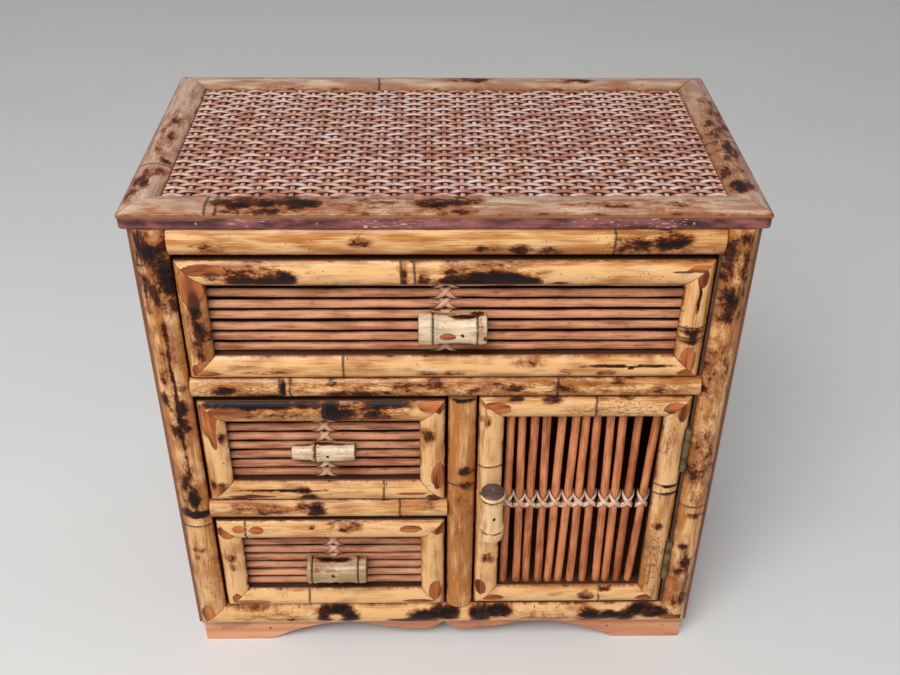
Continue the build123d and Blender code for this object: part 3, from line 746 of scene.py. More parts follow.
# %% Marks on the facing
FACING_MARKS = {
    "rail_top": {
        "scorch": [
            (-133, 314, 5, 2, 0.4), (-122, 313, 9, 4, 0.42), (-45, 317, 6, 4, 0.55), (22, 312, 8, 3, 0.72),
            (40, 311, 8, 4, 0.8), (53, 310, 8, 3.5, 0.72), (98, 314, 12, 6, 0.8), (117, 316, 12, 6, 0.9),
            (124, 310, 8, 4, 0.6),
        ],
    },
    "stile_left": {
        "scorch": [
            (-158, 317, 4, 8, 0.95), (-154, 308, 4, 8, 1.0), (-149, 300, 5, 9, 1.1),
            (-147, 290, 5, 10, 1.05), (-151, 282, 4, 5, 0.8), (-153, 298, 12, 27, 0.84),
            (-151, 317, 3, 3, -0.4), (-157, 299, 3.5, 5, -0.45), (-156, 274, 6, 6, 0.5),
            (-154, 250, 8, 22, 0.3), (-154, 200, 8, 30, 0.34), (-155, 145, 8, 22, 0.36),
            (-158, 229, 2.2, 6, 0.95), (-160, 213, 1.8, 6, 1.0), (-149, 220, 3, 3, 0.62),
            (-151, 207, 3.5, 6, 1.0), (-152, 196, 4, 3.5, 0.9), (-156, 189, 3.5, 6, 1.0),
            (-150, 191, 3, 3, 0.8), (-155, 156, 3, 5, 0.6), (-157, 148, 3.5, 9, 0.8),
            (-153, 137, 3.5, 10, 1.3), (-152, 122, 9, 3, 1.35), (-159, 124, 4, 4, 1.1),
            (-156, 91, 4, 3, 0.55), (-158, 84, 3, 3, 0.5),
        ],
        "peel": [(-157, 30, 4.5, 8, 1.1)],
        "speck": [(-150, 245, 5, 18, 0.4), (-154, 70, 8, 40, 0.3)],
    },
    "stile_right": {
        "scorch": [
            (154, 318, 9, 5, 0.72), (149, 311, 3, 9, 0.75), (156, 300, 7, 4, 0.6), (148, 290, 4, 10, 0.82),
            (151, 283, 6, 9, 0.8), (150, 275, 5, 8, 0.82), (157, 278, 3.5, 5, 0.9), (153, 269, 6, 4, 0.8),
            (154, 292, 11, 32, 0.62), (154, 235, 9, 26, 0.36), (154, 160, 9, 34, 0.42),
            (155, 60, 8, 34, 0.40), (149, 244, 4, 4, 0.7), (157, 240, 2, 4, 0.6), (148, 219, 2.5, 3, 0.8),
            (154, 199, 4, 3, 0.45), (152, 174, 7, 4, 0.6), (159, 170, 3, 4, 0.7), (154, 154, 6, 5, 0.75),
            (148, 134, 3, 3, 0.6), (156, 119, 5, 3, 0.95), (153, 92, 3, 3, 0.66), (156, 78, 3, 6, 1.05),
            (153, 69, 4, 4, 0.75), (158, 44, 3.5, 7, 0.8),
        ],
        "peel": [(157, 24, 5, 3, 0.9)],
        "speck": [(154, 215, 8, 45, 0.45), (154, 55, 8, 30, 0.3)],
    },
    "rail_middle": {
        "scorch": [
            (-126, 219, 8, 3.5, 0.95), (-92, 220, 1.6, 6, 1.2), (-64, 224, 3.5, 3, 0.8),
            (-53, 217, 14, 3.5, 0.95), (0, 219, 150, 8, 0.32), (-110, 215, 20, 2.5, 0.6),
            (70, 220, 12, 4, 0.55), (120, 218, 14, 5, 0.5), (-24, 221, 8, 3.5, 0.8),
            (-36, 218, 10, 2.5, 0.7), (-8, 223, 10, 2.5, 0.62), (36, 221, 10, 4, 0.66),
            (98, 224, 5, 2, 0.8),
        ],
        "speck": [(-120, 219, 24, 8, 1.0), (-30, 219, 40, 6, 0.5), (80, 219, 70, 8, 0.6)],
    },
    "rail_lower": {
        "scorch": [
            (-79, 125, 6, 6, 1.05), (-87, 127, 5, 4, 0.75), (-108, 125, 14, 5, 0.5),
            (-126, 127, 10, 4, 0.42), (-12, 128, 6, 3, 0.35),
        ],
        "speck": [(-115, 124, 24, 6, 0.6)],
    },
    "rail_bottom": {
        "scorch": [
            (-72, 33, 13, 4, 1.12), (-79, 26, 6, 4.5, 1.1), (-64, 27, 7, 6.5, 1.12),
            (-72, 27, 5.5, 2.4, -1.1), (-102, 24, 2, 1.5, 0.9), (-11, 27, 12, 6, 1.12),
            (3, 30, 12, 7, 1.12), (-24, 22, 12, 3.5, 1.05), (24, 29, 8, 8, 1.12), (36, 31, 10, 5, 1.1),
            (14, 28, 3.5, 5, -0.8), (99, 27, 9, 7, 1.12), (111, 27, 9, 5, 1.12), (121, 26, 9, 5, 1.1),
            (129, 31, 11, 4.5, 1.12), (140, 30, 11, 5, 1.12), (112, 34, 8, 3, -0.9),
            (60, 18.5, 40, 1.6, 1.0), (-125, 34, 14, 2.5, 0.5), (-110, 26, 30, 6, 0.22),
            (65, 26, 26, 6, 0.24),
        ],
        "peel": [(153, 25, 9, 4, 0.8)],
        "speck": [(-110, 27, 40, 7, 0.35), (65, 27, 25, 7, 0.35)],
    },
    "centre_stile": {
        "scorch": [
            (12, 157, 5, 4, 0.85), (13, 146, 4, 4, 0.78), (10, 212, 9, 2.2, 1.05), (10, 120, 7, 30, 0.25),
        ],
    },
}


def mark_count(*tables):
    """How many ovals some tables of marks hold."""
    return sum(len(spots) for table in tables for kinds in table.values() for spots in kinds.values())


print("marks on the facing:", mark_count(FACING_MARKS))

# %% Facing strips
FACING_CROWN = 4.8
SPLIT_EDGE = 1.2
STILE_CRACK = (9.6, 120, 265)
X, Y, Z = range(3)


def on_front(x, z):
    """A point on the front plane."""
    return Vector((x, FRONT, z))


def extent(node, axis):
    """Size of a node's box along one axis."""
    low, high = box_mm(node)
    return high[axis] - low[axis]


def facing_strip(node, run, setbacks, rings, tone, cracks=()):
    """A strip of the case's face that fills its node's box; run is the way it grows."""
    low, high = box_mm(node)
    wide, tall = extent(node, X), extent(node, Z)
    start, along, length, width = {
        "up": (on_front(low.x, low.z), UPWARD, tall, wide),
        "down": (on_front(high.x, high.z), -UPWARD, tall, wide),
        "right": (on_front(low.x, high.z), RIGHTWARD, wide, tall),
        "left": (on_front(high.x, low.z), -RIGHTWARD, wide, tall),
    }[run]
    shape = strip(
        start, along, FRONTWARD, length, width, FACING_CROWN, SPLIT_EDGE, setbacks, rings, tone,
        FACING_MARKS[node], on_front, cracks,
    )
    finish_piece(f"burnt_{node}", shape, burnt_bamboo, "case", "burnt_bamboo", node)


foot_rail = extent("rail_bottom", Z)
stile_widths = (extent("stile_right", X), extent("stile_left", X))
facing_strip("stile_left", "up", (foot_rail, 0), [(0.322, 9.0), (0.93, 0)], 0.5, [STILE_CRACK])
facing_strip("stile_right", "down", (0, foot_rail), [(0.645, 0)], 0.45)
facing_strip("rail_bottom", "left", stile_widths, [(0.421, 4.0)], 0.06)
facing_strip("rail_top", "right", (0, 0), [(0.80, 0)], 0.52)
facing_strip("rail_middle", "right", (0, 0), [(0.186, 6.0), (0.72, 0)], 0.36)
facing_strip("rail_lower", "right", (0, 0), [(0.80, 0)], 0.5)
facing_strip("centre_stile", "up", (0, 0), [(0.62, 0)], 0.85)
print("facing strips:", strip_count)

# %% [markdown]
# ## Frames of the drawers and the door
# Four mitred strips go round each drawer front and the door. The same function lays all four: it walks
# round the rectangle clockwise, and each strip's ends are set back by the width of its neighbours.

# %% Marks on the drawer and door frames
TOP_DRAWER_MARKS = {
    "top": {
        "scorch": [
            (-124, 296, 6, 3, 0.85), (-108, 293, 12, 4.5, 1.2), (-94, 292, 11, 4.5, 1.3),
            (-85, 293, 6, 5, 1.2), (-102, 297, 28, 5, 0.58), (-11, 293, 4, 5, 0.85),
            (5, 292, 10, 4.5, 1.15), (24, 293, 20, 6, 1.5), (42, 291, 10, 4.5, 1.3), (62, 290, 5, 1.8, 1.0),
            (22, 297, 30, 6, 0.55), (-22, 294, 2, 7, 0.9),
        ],
        "peel": [(-128, 299, 13, 3.2, 1.05), (136, 299.5, 7, 1.8, 1.0), (127, 298.5, 8, 0.8, 0.8)],
    },
    "right": {
        "scorch": [(136, 259, 8, 2.4, 0.95), (135, 252.5, 7, 1.8, 0.9), (137, 256, 3, 3, 0.75)],
        "peel": [(137.5, 294, 3, 6, 1.1), (136, 239, 4.5, 10, 1.1)],
    },
    "bottom": {
        "scorch": [
            (-10, 231, 7, 2, 0.6), (5, 231, 6, 2.5, 0.55), (68, 231, 4, 3, 0.66), (91, 231, 5, 2.5, 0.6),
            (-100, 232, 14, 1.5, 0.42), (48, 238, 10, 3, 0.36),
        ],
        "peel": [(-135, 231, 10, 2.4, 1.0), (136, 231, 5, 2.6, 1.0)],
    },
    "left": {
        "scorch": [
            (-135, 276, 3.5, 13, 1.0), (-135, 262, 4, 11, 0.95), (-136, 249, 3.5, 9, 0.85),
            (-135, 262, 7, 24, 0.4), (-137, 289, 5, 10, 0.5),
        ],
        "peel": [(-136, 289, 6.5, 13, 1.15), (-137, 233, 5, 6, 1.0)],
        "speck": [(-134, 262, 8, 28, 1.0)],
    },
}
UPPER_DRAWER_MARKS = {
    "top": {
        "scorch": [
            (-128, 208, 14, 3, 1.1), (-111, 208, 14, 3.8, 1.4), (-95, 208, 12, 3.2, 1.2),
            (-80, 208, 10, 3.4, 1.05), (-66, 203, 5.5, 8, 1.4), (-57, 201, 8, 5, 1.05),
            (-43, 201, 7, 5, 0.85), (-34, 208, 16, 3.6, 1.1), (-50, 203, 26, 8, 0.66),
            (-100, 204, 38, 7, 0.42), (-96, 199, 8, 3, 0.6),
        ],
        "peel": [(-126, 203, 14, 2.8, 1.05), (-8, 206, 7, 3.2, 1.1)],
    },
    "right": {
        "scorch": [(-10, 185, 4, 6, 0.8)],
        "peel": [(-3, 205, 3, 4, 0.95), (-3.5, 153, 4, 10, 1.15)],
    },
    "bottom": {
        "scorch": [(-127, 134, 9, 1.8, 1.05), (-83, 136, 6, 3, 1.1), (-87, 142, 5, 3, 0.65)],
        "peel": [(-118, 137, 16, 2, 0.85), (-20, 139, 10, 1.4, 0.9), (-6, 136, 6, 2.6, 0.95)],
    },
    "left": {
        "scorch": [(-131, 183, 2, 5, 0.85), (-140, 146, 2, 4, 0.95), (-134, 147, 3, 1.5, 0.8)],
        "peel": [(-138, 198, 5.5, 13, 1.15), (-136, 184, 2.4, 9, 1.0), (-136, 142, 4.5, 6, 1.05)],
    },
}
LOWER_DRAWER_MARKS = {
    "top": {
        "scorch": [(-83, 110, 2, 1, 0.7), (-72, 111, 3, 3, 0.5), (-59, 109, 8, 4, 0.5)],
        "peel": [(-118, 108, 4.5, 3, 1.15), (-129, 108.5, 4, 2.8, 1.0), (-21, 108.5, 7, 2.4, 1.15)],
    },
    "right": {"peel": [(-3, 108, 4.5, 5, 1.1), (-5.5, 52, 4, 9, 1.15)]},
    "bottom": {"peel": [(-126, 41.5, 12, 2.4, 1.15), (-16, 42, 11, 1.8, 1.0)]},
    "left": {
        "scorch": [(-137, 83, 4, 3.5, 0.78), (-136, 76, 2, 4, 0.5)],
        "peel": [(-137, 106, 6, 5, 1.15), (-136, 45, 3.5, 5, 1.05)],
    },
}
DOOR_MARKS = {
    "top": {
        "scorch": [(61, 210.5, 7, 2, 0.8), (42, 211, 5, 1.2, 1.15), (100, 211, 12, 1.5, 0.45)],
        "peel": [(29, 205, 9, 4.5, 1.15), (134, 205, 7, 4, 1.1)],
        "speck": [(108, 203, 30, 7, 0.9)],
    },
    "right": {
        "scorch": [(138, 144, 6, 1.2, 0.95), (139, 138, 6, 1.2, 1.0), (134, 110, 4, 3, 0.85)],
        "peel": [(139, 202, 3.4, 7, 1.1)],
        "speck": [(135, 78, 7, 34, 0.9), (134, 180, 6, 18, 0.6)],
    },
    "bottom": {
        "scorch": [(94, 46, 5, 4, 0.85), (106, 51, 4, 1.2, 0.85)],
        "peel": [(32, 45, 8, 2.6, 1.05), (134, 44, 7, 3.4, 1.0)],
    },
    "left": {
        "scorch": [(24, 196, 3, 5, 0.6), (28, 82, 5, 5, 0.5)],
        "peel": [(25, 209, 4, 4, 1.0), (24, 55, 3.6, 7, 1.1)],
    },
}
frame_marks = (TOP_DRAWER_MARKS, UPPER_DRAWER_MARKS, LOWER_DRAWER_MARKS, DOOR_MARKS)
print("marks on the frames:", mark_count(*frame_marks))

# %% Drawer frames
FRAME_STRIP = 15.0
FRAME_CROWN = 4.6
SIDES = ("top", "right", "bottom", "left")


def mitred_frame(corners, widths, facing, crown, edge, rings, tones, marks, to_point, cracks=(), notches=()):
    """Four strips round a rectangle; the corners run clockwise from the top left."""
    shapes = []
    cracks = dict(cracks)
    notches = dict(notches)
    for turn, side in enumerate(SIDES):
        after = (turn + 1) % 4
        run = corners[after] - corners[turn]
        setbacks = (widths[turn - 1], widths[after])
        shapes.append(strip(
            corners[turn], run.normalized(), facing, run.length, widths[turn], crown, edge, setbacks,
            rings[turn], tones[turn], marks.get(side, {}), to_point, cracks.get(side, ()),
            notches.get(side, ()),
        ))
    return shapes


def front_corners(low, high):
    """Corners of a drawer front or door, clockwise from the top left."""
    places = ((low.x, high.z), (high.x, high.z), (high.x, low.z), (low.x, low.z))
    return [on_front(x, z) for x, z in places]


def front_frame(nodes, rings, tones, marks, cracks=(), notches=()):
    """The four bamboo strips of a drawer front or the door, round the box of its nodes."""
    return mitred_frame(
        front_corners(*box_mm(*nodes)), [FRAME_STRIP] * 4, FRONTWARD, FRAME_CROWN, SPLIT_EDGE, rings, tones,
        marks, on_front, cracks, notches,
    )


def drawer_frame(name, *plan):
    """The bamboo frame of one drawer as one piece."""
    shape = join(front_frame([f"{name}_bamboo"], *plan))
    finish_piece(f"burnt_{name}_frame", shape, burnt_bamboo, name, "burnt_bamboo", f"{name}_bamboo")


drawer_frame(
    "top_drawer", ([(0.431, 7.0)], [(0.593, 7.0)], [(0.70, 0)], []), (0.2, 0.42, 0.3, 0.5),
    TOP_DRAWER_MARKS, {"right": [(6.5, 12, 34)], "bottom": [(9.0, 8, 70)]},
)
drawer_frame(
    "upper_drawer", ([(0.509, 0)], [], [(0.26, 0)], []), (0.42, 0.32, 0.32, 0.36),
    UPPER_DRAWER_MARKS, {"bottom": [(9.5, 70, 128)]},
)
drawer_frame(
    "lower_drawer", ([(0.128, 0)], [], [(0.62, 0)], []), (0.12, 0.24, -0.05, 0.12), LOWER_DRAWER_MARKS,
)
print("strips with the drawers' frames:", strip_count)

# %% Door frame, one piece for each of its nodes
HINGE_ROOM = 0.3
HINGE_TALL = 33.0
door_nodes = [f"door_bamboo_{side}" for side in SIDES]
door_high = box_mm(*door_nodes)[1]
leaf_low, leaf_high = box_mm("hinge_case_leaves")
notch_depth = door_high.x - leaf_low.x + HINGE_ROOM
door_notches = [
    (door_high.z - base - HINGE_TALL - HINGE_ROOM, door_high.z - base + HINGE_ROOM, notch_depth)
    for base in (leaf_high.z - HINGE_TALL, leaf_low.z)
]
door_strips = front_frame(
    door_nodes, ([(0.55, 0)], [(0.41, 7.0)], [(0.33, 0)], [(0.70, 0)]), (0.22, 0.45, 0.04, 0.14),
    DOOR_MARKS, notches={"right": door_notches},
)
for side, node_name, shape in zip(SIDES, door_nodes, door_strips):
    finish_piece(f"burnt_door_{side}", shape, burnt_bamboo, "door", "burnt_bamboo", node_name)
print("strips with the door's frame:", strip_count)

# %% [markdown]
# ## Border of the top
# Four wider strips frame the weave, and their outer edges lie over the painted moulding. Seen from above
# they look redder and darker than the front, so they have their own finish from the same group: a darker,
# greyer copy of the bamboo, which is painted shade and a painted reflection of the sky, since the top
# takes the light otherwise than the front.

# %% Top border
TOP_FACE = box_mm("top_board")[1].z
TOP_CROWN = 5.0
TOP_EDGE = 2.2
TOP_MARKS = {
    "left": {
        "scorch": [
            (-158, 108, 4, 6, 0.66), (-152, 113, 3, 4, 0.6), (-153, 54, 4, 3, 1.0), (-162, 28, 6, 8, 0.85),
            (-156, 40, 8, 6, 0.55), (-160, 85, 8, 40, 0.34), (-164, 20, 5, 14, 0.6),
        ],
        "speck": [(-158, 120, 10, 50, 0.4)],
    },
    "top": {"scorch": [(15, 170, 18, 4, 0.75), (84, 168, 12, 3, 0.66), (-119, 172, 5, 3, 0.45)]},
    "right": {
        "scorch": [
            (163, 136, 6, 6, 0.66), (158, 100, 6, 12, 0.7), (161, 68, 6, 14, 0.75), (153, 42, 4, 8, 0.8),
            (158, 24, 8, 8, 0.9), (165, 110, 4, 40, 0.6), (160, 80, 9, 50, 0.5),
        ],
    },
    "bottom": {
        "scorch": [
            (-106, 5, 14, 5, 1.1), (-92, 5, 12, 5, 0.95), (-76, 4, 14, 5, 1.1), (-3, 5, 16, 5, 1.05),
            (10, 6, 10, 4, 0.75), (80, 3, 20, 3, 0.5), (-60, 6, 70, 8, 0.40), (110, 4, 40, 6, 0.30),
            (-92, 4, 26, 16, 0.60), (2, 4, 18, 14, 0.48), (-45, 4, 22, 12, 0.22), (-150, 2, 10, 8, 0.15),
        ],
        "speck": [(40, 8, 80, 10, 0.3)],
    },
}
# Darker, greyer copy of the bamboo finish for the top: painted shade and a painted sky reflection.
top_bamboo = bamboo_finish("top_bamboo", colour(0.54, 0.37, 0.255), colour(0.30, 0.145, 0.09), 0.5)


def on_top(x, depth):
    """A point on the top board, measured back from the front plane."""
    return Vector((x, FRONT + depth, TOP_FACE))


TOP_SIDES = ("back", "right", "front", "left")
top_low, top_high = box_mm(*[f"top_bamboo_{side}" for side in TOP_SIDES])
front_width, side_width = extent("top_bamboo_front", Y), extent("top_bamboo_left", X)
top_corners = [
    Vector((top_low.x, top_high.y, TOP_FACE)), Vector((top_high.x, top_high.y, TOP_FACE)),
    Vector((top_high.x, top_low.y, TOP_FACE)), Vector((top_low.x, top_low.y, TOP_FACE)),
]
top_strips = mitred_frame(
    top_corners, [side_width, side_width, front_width, side_width], UPWARD, TOP_CROWN, TOP_EDGE,
    ([(0.38, 0)], [(0.55, 0)], [(0.858, 5.0)], [(0.29, 0)]), (0.6, 0.6, 0.4, 0.3), TOP_MARKS, on_top,
)
for side, shape in zip(TOP_SIDES, top_strips):
    finish_piece(f"burnt_top_{side}", shape, top_bamboo, "case", "burnt_bamboo", f"top_bamboo_{side}")
print("top border strips:", len(top_strips))

# %% [markdown]
# ## Rattan rods
# Rattan grows as a solid, nearly even stem. Each rod is a capped cylinder that is subdivided along its
# length, so that it can bow and vary a little. The door's rods lean in the photograph, so each has its
# own shift at head and foot. Behind a rod and under it the colour is darkened near black: painted shade.
# The door's rods are redder than the drawers', so there are two finishes. The same rule for a rod's
# middle later places the cane on it.

# %% Rattan finishes
RATTAN_STAIN = colour(0.09, 0.03, 0.016)
RATTAN_SHADE = colour(0.012, 0.005, 0.004)


def rattan_finish(name, pale, deep):
    """Varnished rattan; pale and deep are the two ends of its colour."""
    finish, tree, shader = start_finish(name, Specular_IOR_Level=0.2)
    grain = on_grain(tree)
    fibre = streaks(tree, grain, 26.0, 0.5, 3.0)
    blot = streaks(tree, grain, 22.0, 5.0, 4.0)
    tone = varied_tone(tree, (blot, 1.6), (fibre, 1.4))
    face = tint(tree, fade(tree, tone, 0.0, 1.0), pale, deep)
    stain = fade(tree, streaks(tree, grain, 6.0, 2.0, 4.0), 0.58, 0.68)
    face = tint(tree, times(tree, stain, 0.4), face, RATTAN_STAIN)
    # Painted shade, varied by noise: near black behind each rod and, on the drawers, under it.
    shade_and_soil = plus(tree, painted(tree, "raw"), swing(tree, blot, 0.5))
    face = tint(tree, fade(tree, shade_and_soil, 0.36, 0.72), face, RATTAN_SHADE)
    wire(tree, shader, face, scaled(tree, fibre, 0.2, 0.36), fibre, 0.2)
    return finish


drawer_rattan = rattan_finish("drawer_rattan", colour(0.65, 0.295, 0.155), colour(0.23, 0.060, 0.021))
door_rattan = rattan_finish("door_rattan", colour(0.70, 0.26, 0.10), colour(0.27, 0.058, 0.016))
print("rattan finishes:", drawer_rattan.name, door_rattan.name)

# %% One rod
ROD_SIDES = 16
ROD_PIECE = 7.0
ROD_BOW = 0.4
ROD_SWELL, ROD_SLIM = 0.05, 0.03
ROD_GRAIN_STEP = 40.0
UNDERSIDE_SHADE = 0.92


def rod_middle(stem, along):
    """Place of a rod's core at a distance along it."""
    share = along / stem["length"]
    lean = stem["lean"][0] * (1 - share) + stem["lean"][1] * share
    bow = ROD_BOW * noise.noise(Vector((along * 0.02, stem["seed"], 0.5)))
    return stem["start"] + stem["along"] * along + stem["across"] * (lean + bow)


def turn_round(point, face):
    """Angle of a point round the X axis, carried past half a turn where its face goes on."""
    middle = face.calc_center_median()
    lead = math.atan2(middle.y, middle.z)
    turn = math.atan2(point.y, point.z)
    return turn + round((lead - turn) / math.tau) * math.tau


def rod(stem):
    """A bowed, slightly uneven rattan rod."""
    radius, length = stem["radius"], stem["length"]
    shape = bmesh.new()
    bmesh.ops.create_cone(
        shape, cap_ends=True, segments=ROD_SIDES, radius1=radius, radius2=radius, depth=length,
    )
    long_edges = [edge for edge in shape.edges if edge.calc_length() > length / 2]
    bmesh.ops.subdivide_edges(shape, edges=long_edges, cuts=round(length / ROD_PIECE), use_grid_fill=True)
    bmesh.ops.rotate(shape, matrix=Matrix.Rotation(math.pi / 2, 3, "Y"), verts=shape.verts)
    bmesh.ops.translate(shape, vec=(length / 2, 0, 0), verts=shape.verts)

    def values(point):
        # Painted shade: behind the rod, and on the underside of a rod that lies level.
        behind = 0.5 - 0.5 * point.co.z / radius
        below = -UNDERSIDE_SHADE * stem["across"].z * point.co.y / radius
        return {"tone": stem["tone"], "raw": max(behind, below)}

    def unroll(point, face):
        return point.x, turn_round(point, face) * radius

    paint(shape, values, unroll, ROD_GRAIN_STEP * stem["seed"])
    for point in shape.verts:
        along, across, out = point.co
        swell = 1 + ROD_SWELL * noise.noise(Vector((along * 0.05, stem["seed"], 8.0))) - ROD_SLIM
        point.co = rod_middle(stem, along) + (stem["across"] * across + stem["facing"] * out) * swell
    return shape


# %% Rows of rods
DRAWERS = ("top_drawer", "upper_drawer", "lower_drawer")
DRAWER_RODS = 7
DRAWER_LEAN = 0.3
DOOR_ROD_HEADS = (0.5, -0.6, -1.0, -1.5, -0.2, 0.8, -1.1, -2.4, -2.3, -2.8, -1.1, 2.2)
DOOR_ROD_FEET = (0.0, 1.3, 0.0, 0.6, -0.8, -1.9, -1.6, -1.1, 0.0, -1.3, -2.0, -1.7)
DRAWER_TONE, DOOR_TONE, TONE_SPREAD = 0.42, 0.45, 0.13
dice = random.Random(24)


def rod_row(node, along, count):
    """Rods side by side that fill the box of a node, as plans for the rods."""
    low = box_mm(node)[0]
    radius = extent(node, Y) / 2
    upright = along.z > 0
    run, side, sideways = (Z, X, RIGHTWARD) if upright else (X, Z, UPWARD)
    span = extent(node, side) - 2 * radius
    row = []
    for index in range(count):
        shift = radius + span * index / (count - 1)
        if upright:
            lean = (-DOOR_ROD_FEET[index], -DOOR_ROD_HEADS[index])
        else:
            lean = (dice.uniform(-DRAWER_LEAN, DRAWER_LEAN), dice.uniform(-DRAWER_LEAN, DRAWER_LEAN))
        seed = dice.uniform(1, 40)
        tone = dice.gauss(DOOR_TONE if upright else DRAWER_TONE, TONE_SPREAD)
        row.append({
            "start": Vector((low.x, low.y + radius, low.z)) + sideways * shift, "along": along,
            "across": FRONTWARD.cross(along), "facing": FRONTWARD, "radius": radius, "lean": lean,
            "length": extent(node, run), "seed": seed, "tone": clamp(tone, 0.05, 0.95),
        })
    return row


stems = {name: rod_row(f"{name}_rods", RIGHTWARD, DRAWER_RODS) for name in DRAWERS}
stems["door"] = rod_row("door_rods", UPWARD, len(DOOR_ROD_HEADS))
for body, row in stems.items():
    shape = join([rod(stem) for stem in row])
    finish = door_rattan if body == "door" else drawer_rattan
    finish_piece(f"rattan_{body}_rods", shape, finish, body, "rattan_rod", f"{body}_rods")
print("rods:", {body: len(row) for body, row in stems.items()})

# %% [markdown]
# ## Cane ties
# A ribbon of split cane crosses over every rod and again behind it, and ties the row together. Each
# crossing is two grids bent round the rod and thickened. The strand on top is lifted where they cross. On
# the drawers the crossing sits high on the rod, so that each pair of strands spreads downwards.

# %% Cane finish
CANE_PALE, CANE_TAN = colour(0.93, 0.74, 0.59), colour(0.66, 0.36, 0.22)
CANE_LINE = colour(0.58, 0.29, 0.16)
CANE_SHADE = colour(0.035, 0.014, 0.009)


def cane_finish(name):
    """Split cane: pale with tan blots, brown lines along it, and painted shade at its edges and ends."""
    finish, tree, shader = start_finish(name, Specular_IOR_Level=0.25)
    grain = on_grain(tree)
    fibre = streaks(tree, grain, 9.0, 0.35, 3.0)
    blot = plus(tree, streaks(tree, grain, 5.0, 3.0), painted(tree, "tone"))
    pale = tint(tree, fade(tree, blot, 0.42, 0.62), CANE_PALE, CANE_TAN)
    face = tint(tree, fade(tree, fibre, 0.3, 0.62), CANE_LINE, pale)
    shade_and_soil = fade(tree, painted(tree, "raw"), 0.78, 1.0)
    face = tint(tree, times(tree, shade_and_soil, 0.9), face, CANE_SHADE)
    wire(tree, shader, face, scaled(tree, fibre, 0.2, 0.4), fibre, 0.2)
    return finish


split_cane = cane_finish("split_cane")
print("cane finish:", split_cane.name)

# %% One strand of cane
CANE_WIDTH = 2.4
CANE_THICK = 0.42
CANE_CROWN = 0.12
CANE_GAP = 0.06
CANE_TURN = math.radians(90)
CANE_LENGTH = 12
CANE_STEPS = 14
CROSSING_WIDTH = 0.2
DRAWER_CANE = 0.12
GRAIN_STRAY = 900


def cane_strand(stem, along, tie, lean, over, front):
    """One ribbon bent round a rod from gap to gap; lean is the way it slopes past the crossing."""
    span, crossing, flare = tie
    shape = bmesh.new()
    bmesh.ops.create_grid(shape, x_segments=CANE_STEPS, y_segments=4, size=0.5)
    slope = math.atan2(span, 2 * CANE_TURN * stem["radius"])

    def values(point):
        # Painted shade: darker at the strand's edges and where its ends go between the rods.
        at_edge, at_end = 2 * abs(point.co.y), 2 * abs(point.co.x)
        return {"raw": max(at_edge, at_end ** 6), "tone": DRAWER_CANE if stem["along"].x else 0.0}

    def unroll(point, face):
        return point.x * CANE_LENGTH, point.y * CANE_WIDTH

    paint(shape, values, unroll, dice.uniform(0, GRAIN_STRAY))
    for point in shape.verts:
        share, side = point.co.x, point.co.y
        turn = 2 * share * CANE_TURN
        reach = stem["radius"] + CANE_GAP + over * CANE_THICK * bell(share - crossing, CROSSING_WIDTH)
        reach += CANE_CROWN * (0.25 - side * side) * 4
        ahead_by = lean * (share - crossing) * span + side * CANE_WIDTH / math.cos(slope)
        middle = rod_middle(stem, along + ahead_by)
        out = stem["facing"] * (front * math.cos(turn) * reach)
        spread = math.sin(turn) * (reach + flare * math.sin(turn) ** 2)
        point.co = middle + stem["across"] * spread + out
    bmesh.ops.recalc_face_normals(shape, faces=shape.faces)
    first = shape.faces[:][0]
    if (first.calc_center_median() - rod_middle(stem, along)).dot(first.normal) < 0:
        bmesh.ops.reverse_faces(shape, faces=shape.faces[:])
    bmesh.ops.solidify(shape, geom=shape.faces[:], thickness=-CANE_THICK)
    bmesh.ops.recalc_face_normals(shape, faces=shape.faces)
    return shape


# %% Crossed ties on every rod
# A tie is its span along the rod, the place of its crossing, and its flare into the gaps.
DRAWER_TIE = (9.5, 0.24, 0.3)
DOOR_TIE = (12.0, 0.0, 0.72)
TIE_STRAY = 0.4


def cane_ties(body, tie):
    """All ties of one row of rods as one piece, along the middle of their node's box."""
    low, high = box_mm(f"{body}_lashing")
    row = stems[body]
    run = X if row[0]["along"].x else Z
    middle = (low[run] + high[run]) / 2 - row[0]["start"][run]
    strands = []
    for stem in row:
        place = middle + dice.uniform(-TIE_STRAY, TIE_STRAY)
        for front in (1, -1):
            for lean, over in ((-1, 0), (1, 1)):
                strands.append(cane_strand(stem, place, tie, lean, over, front))
    finish_piece(f"cane_{body}_ties", join(strands), split_cane, body, "split_cane", f"{body}_lashing")
    return len(strands)


strand_count = sum(cane_ties(body, DOOR_TIE if body == "door" else DRAWER_TIE) for body in stems)
print("cane strands:", strand_count)

# %% [markdown]
# ## Woven top
# Flat rattan splints run from side to side, over and under round stakes that run from front to back.
# Each splint is a long grid whose points follow a wave, with the wave turned about in the next row. The
# stakes dip the other way, and thickness is added last. Each row has its own painted tone, and noise
# shifts it from crest to crest, between a tan and a rosy cast; the rosy cast is partly the rattan's own
# colour and partly a painted sheen of the sky. Where a strand dips and along its edges its colour is
# darkened: painted shade.

# %% Weave finish
WEAVE_TAN, WEAVE_ROSY_SHEEN = colour(0.77, 0.48, 0.325), colour(0.73, 0.53, 0.505)
WEAVE_DEEP = colour(0.39, 0.138, 0.083)
WEAVE_SHADE = colour(0.030, 0.009, 0.007)


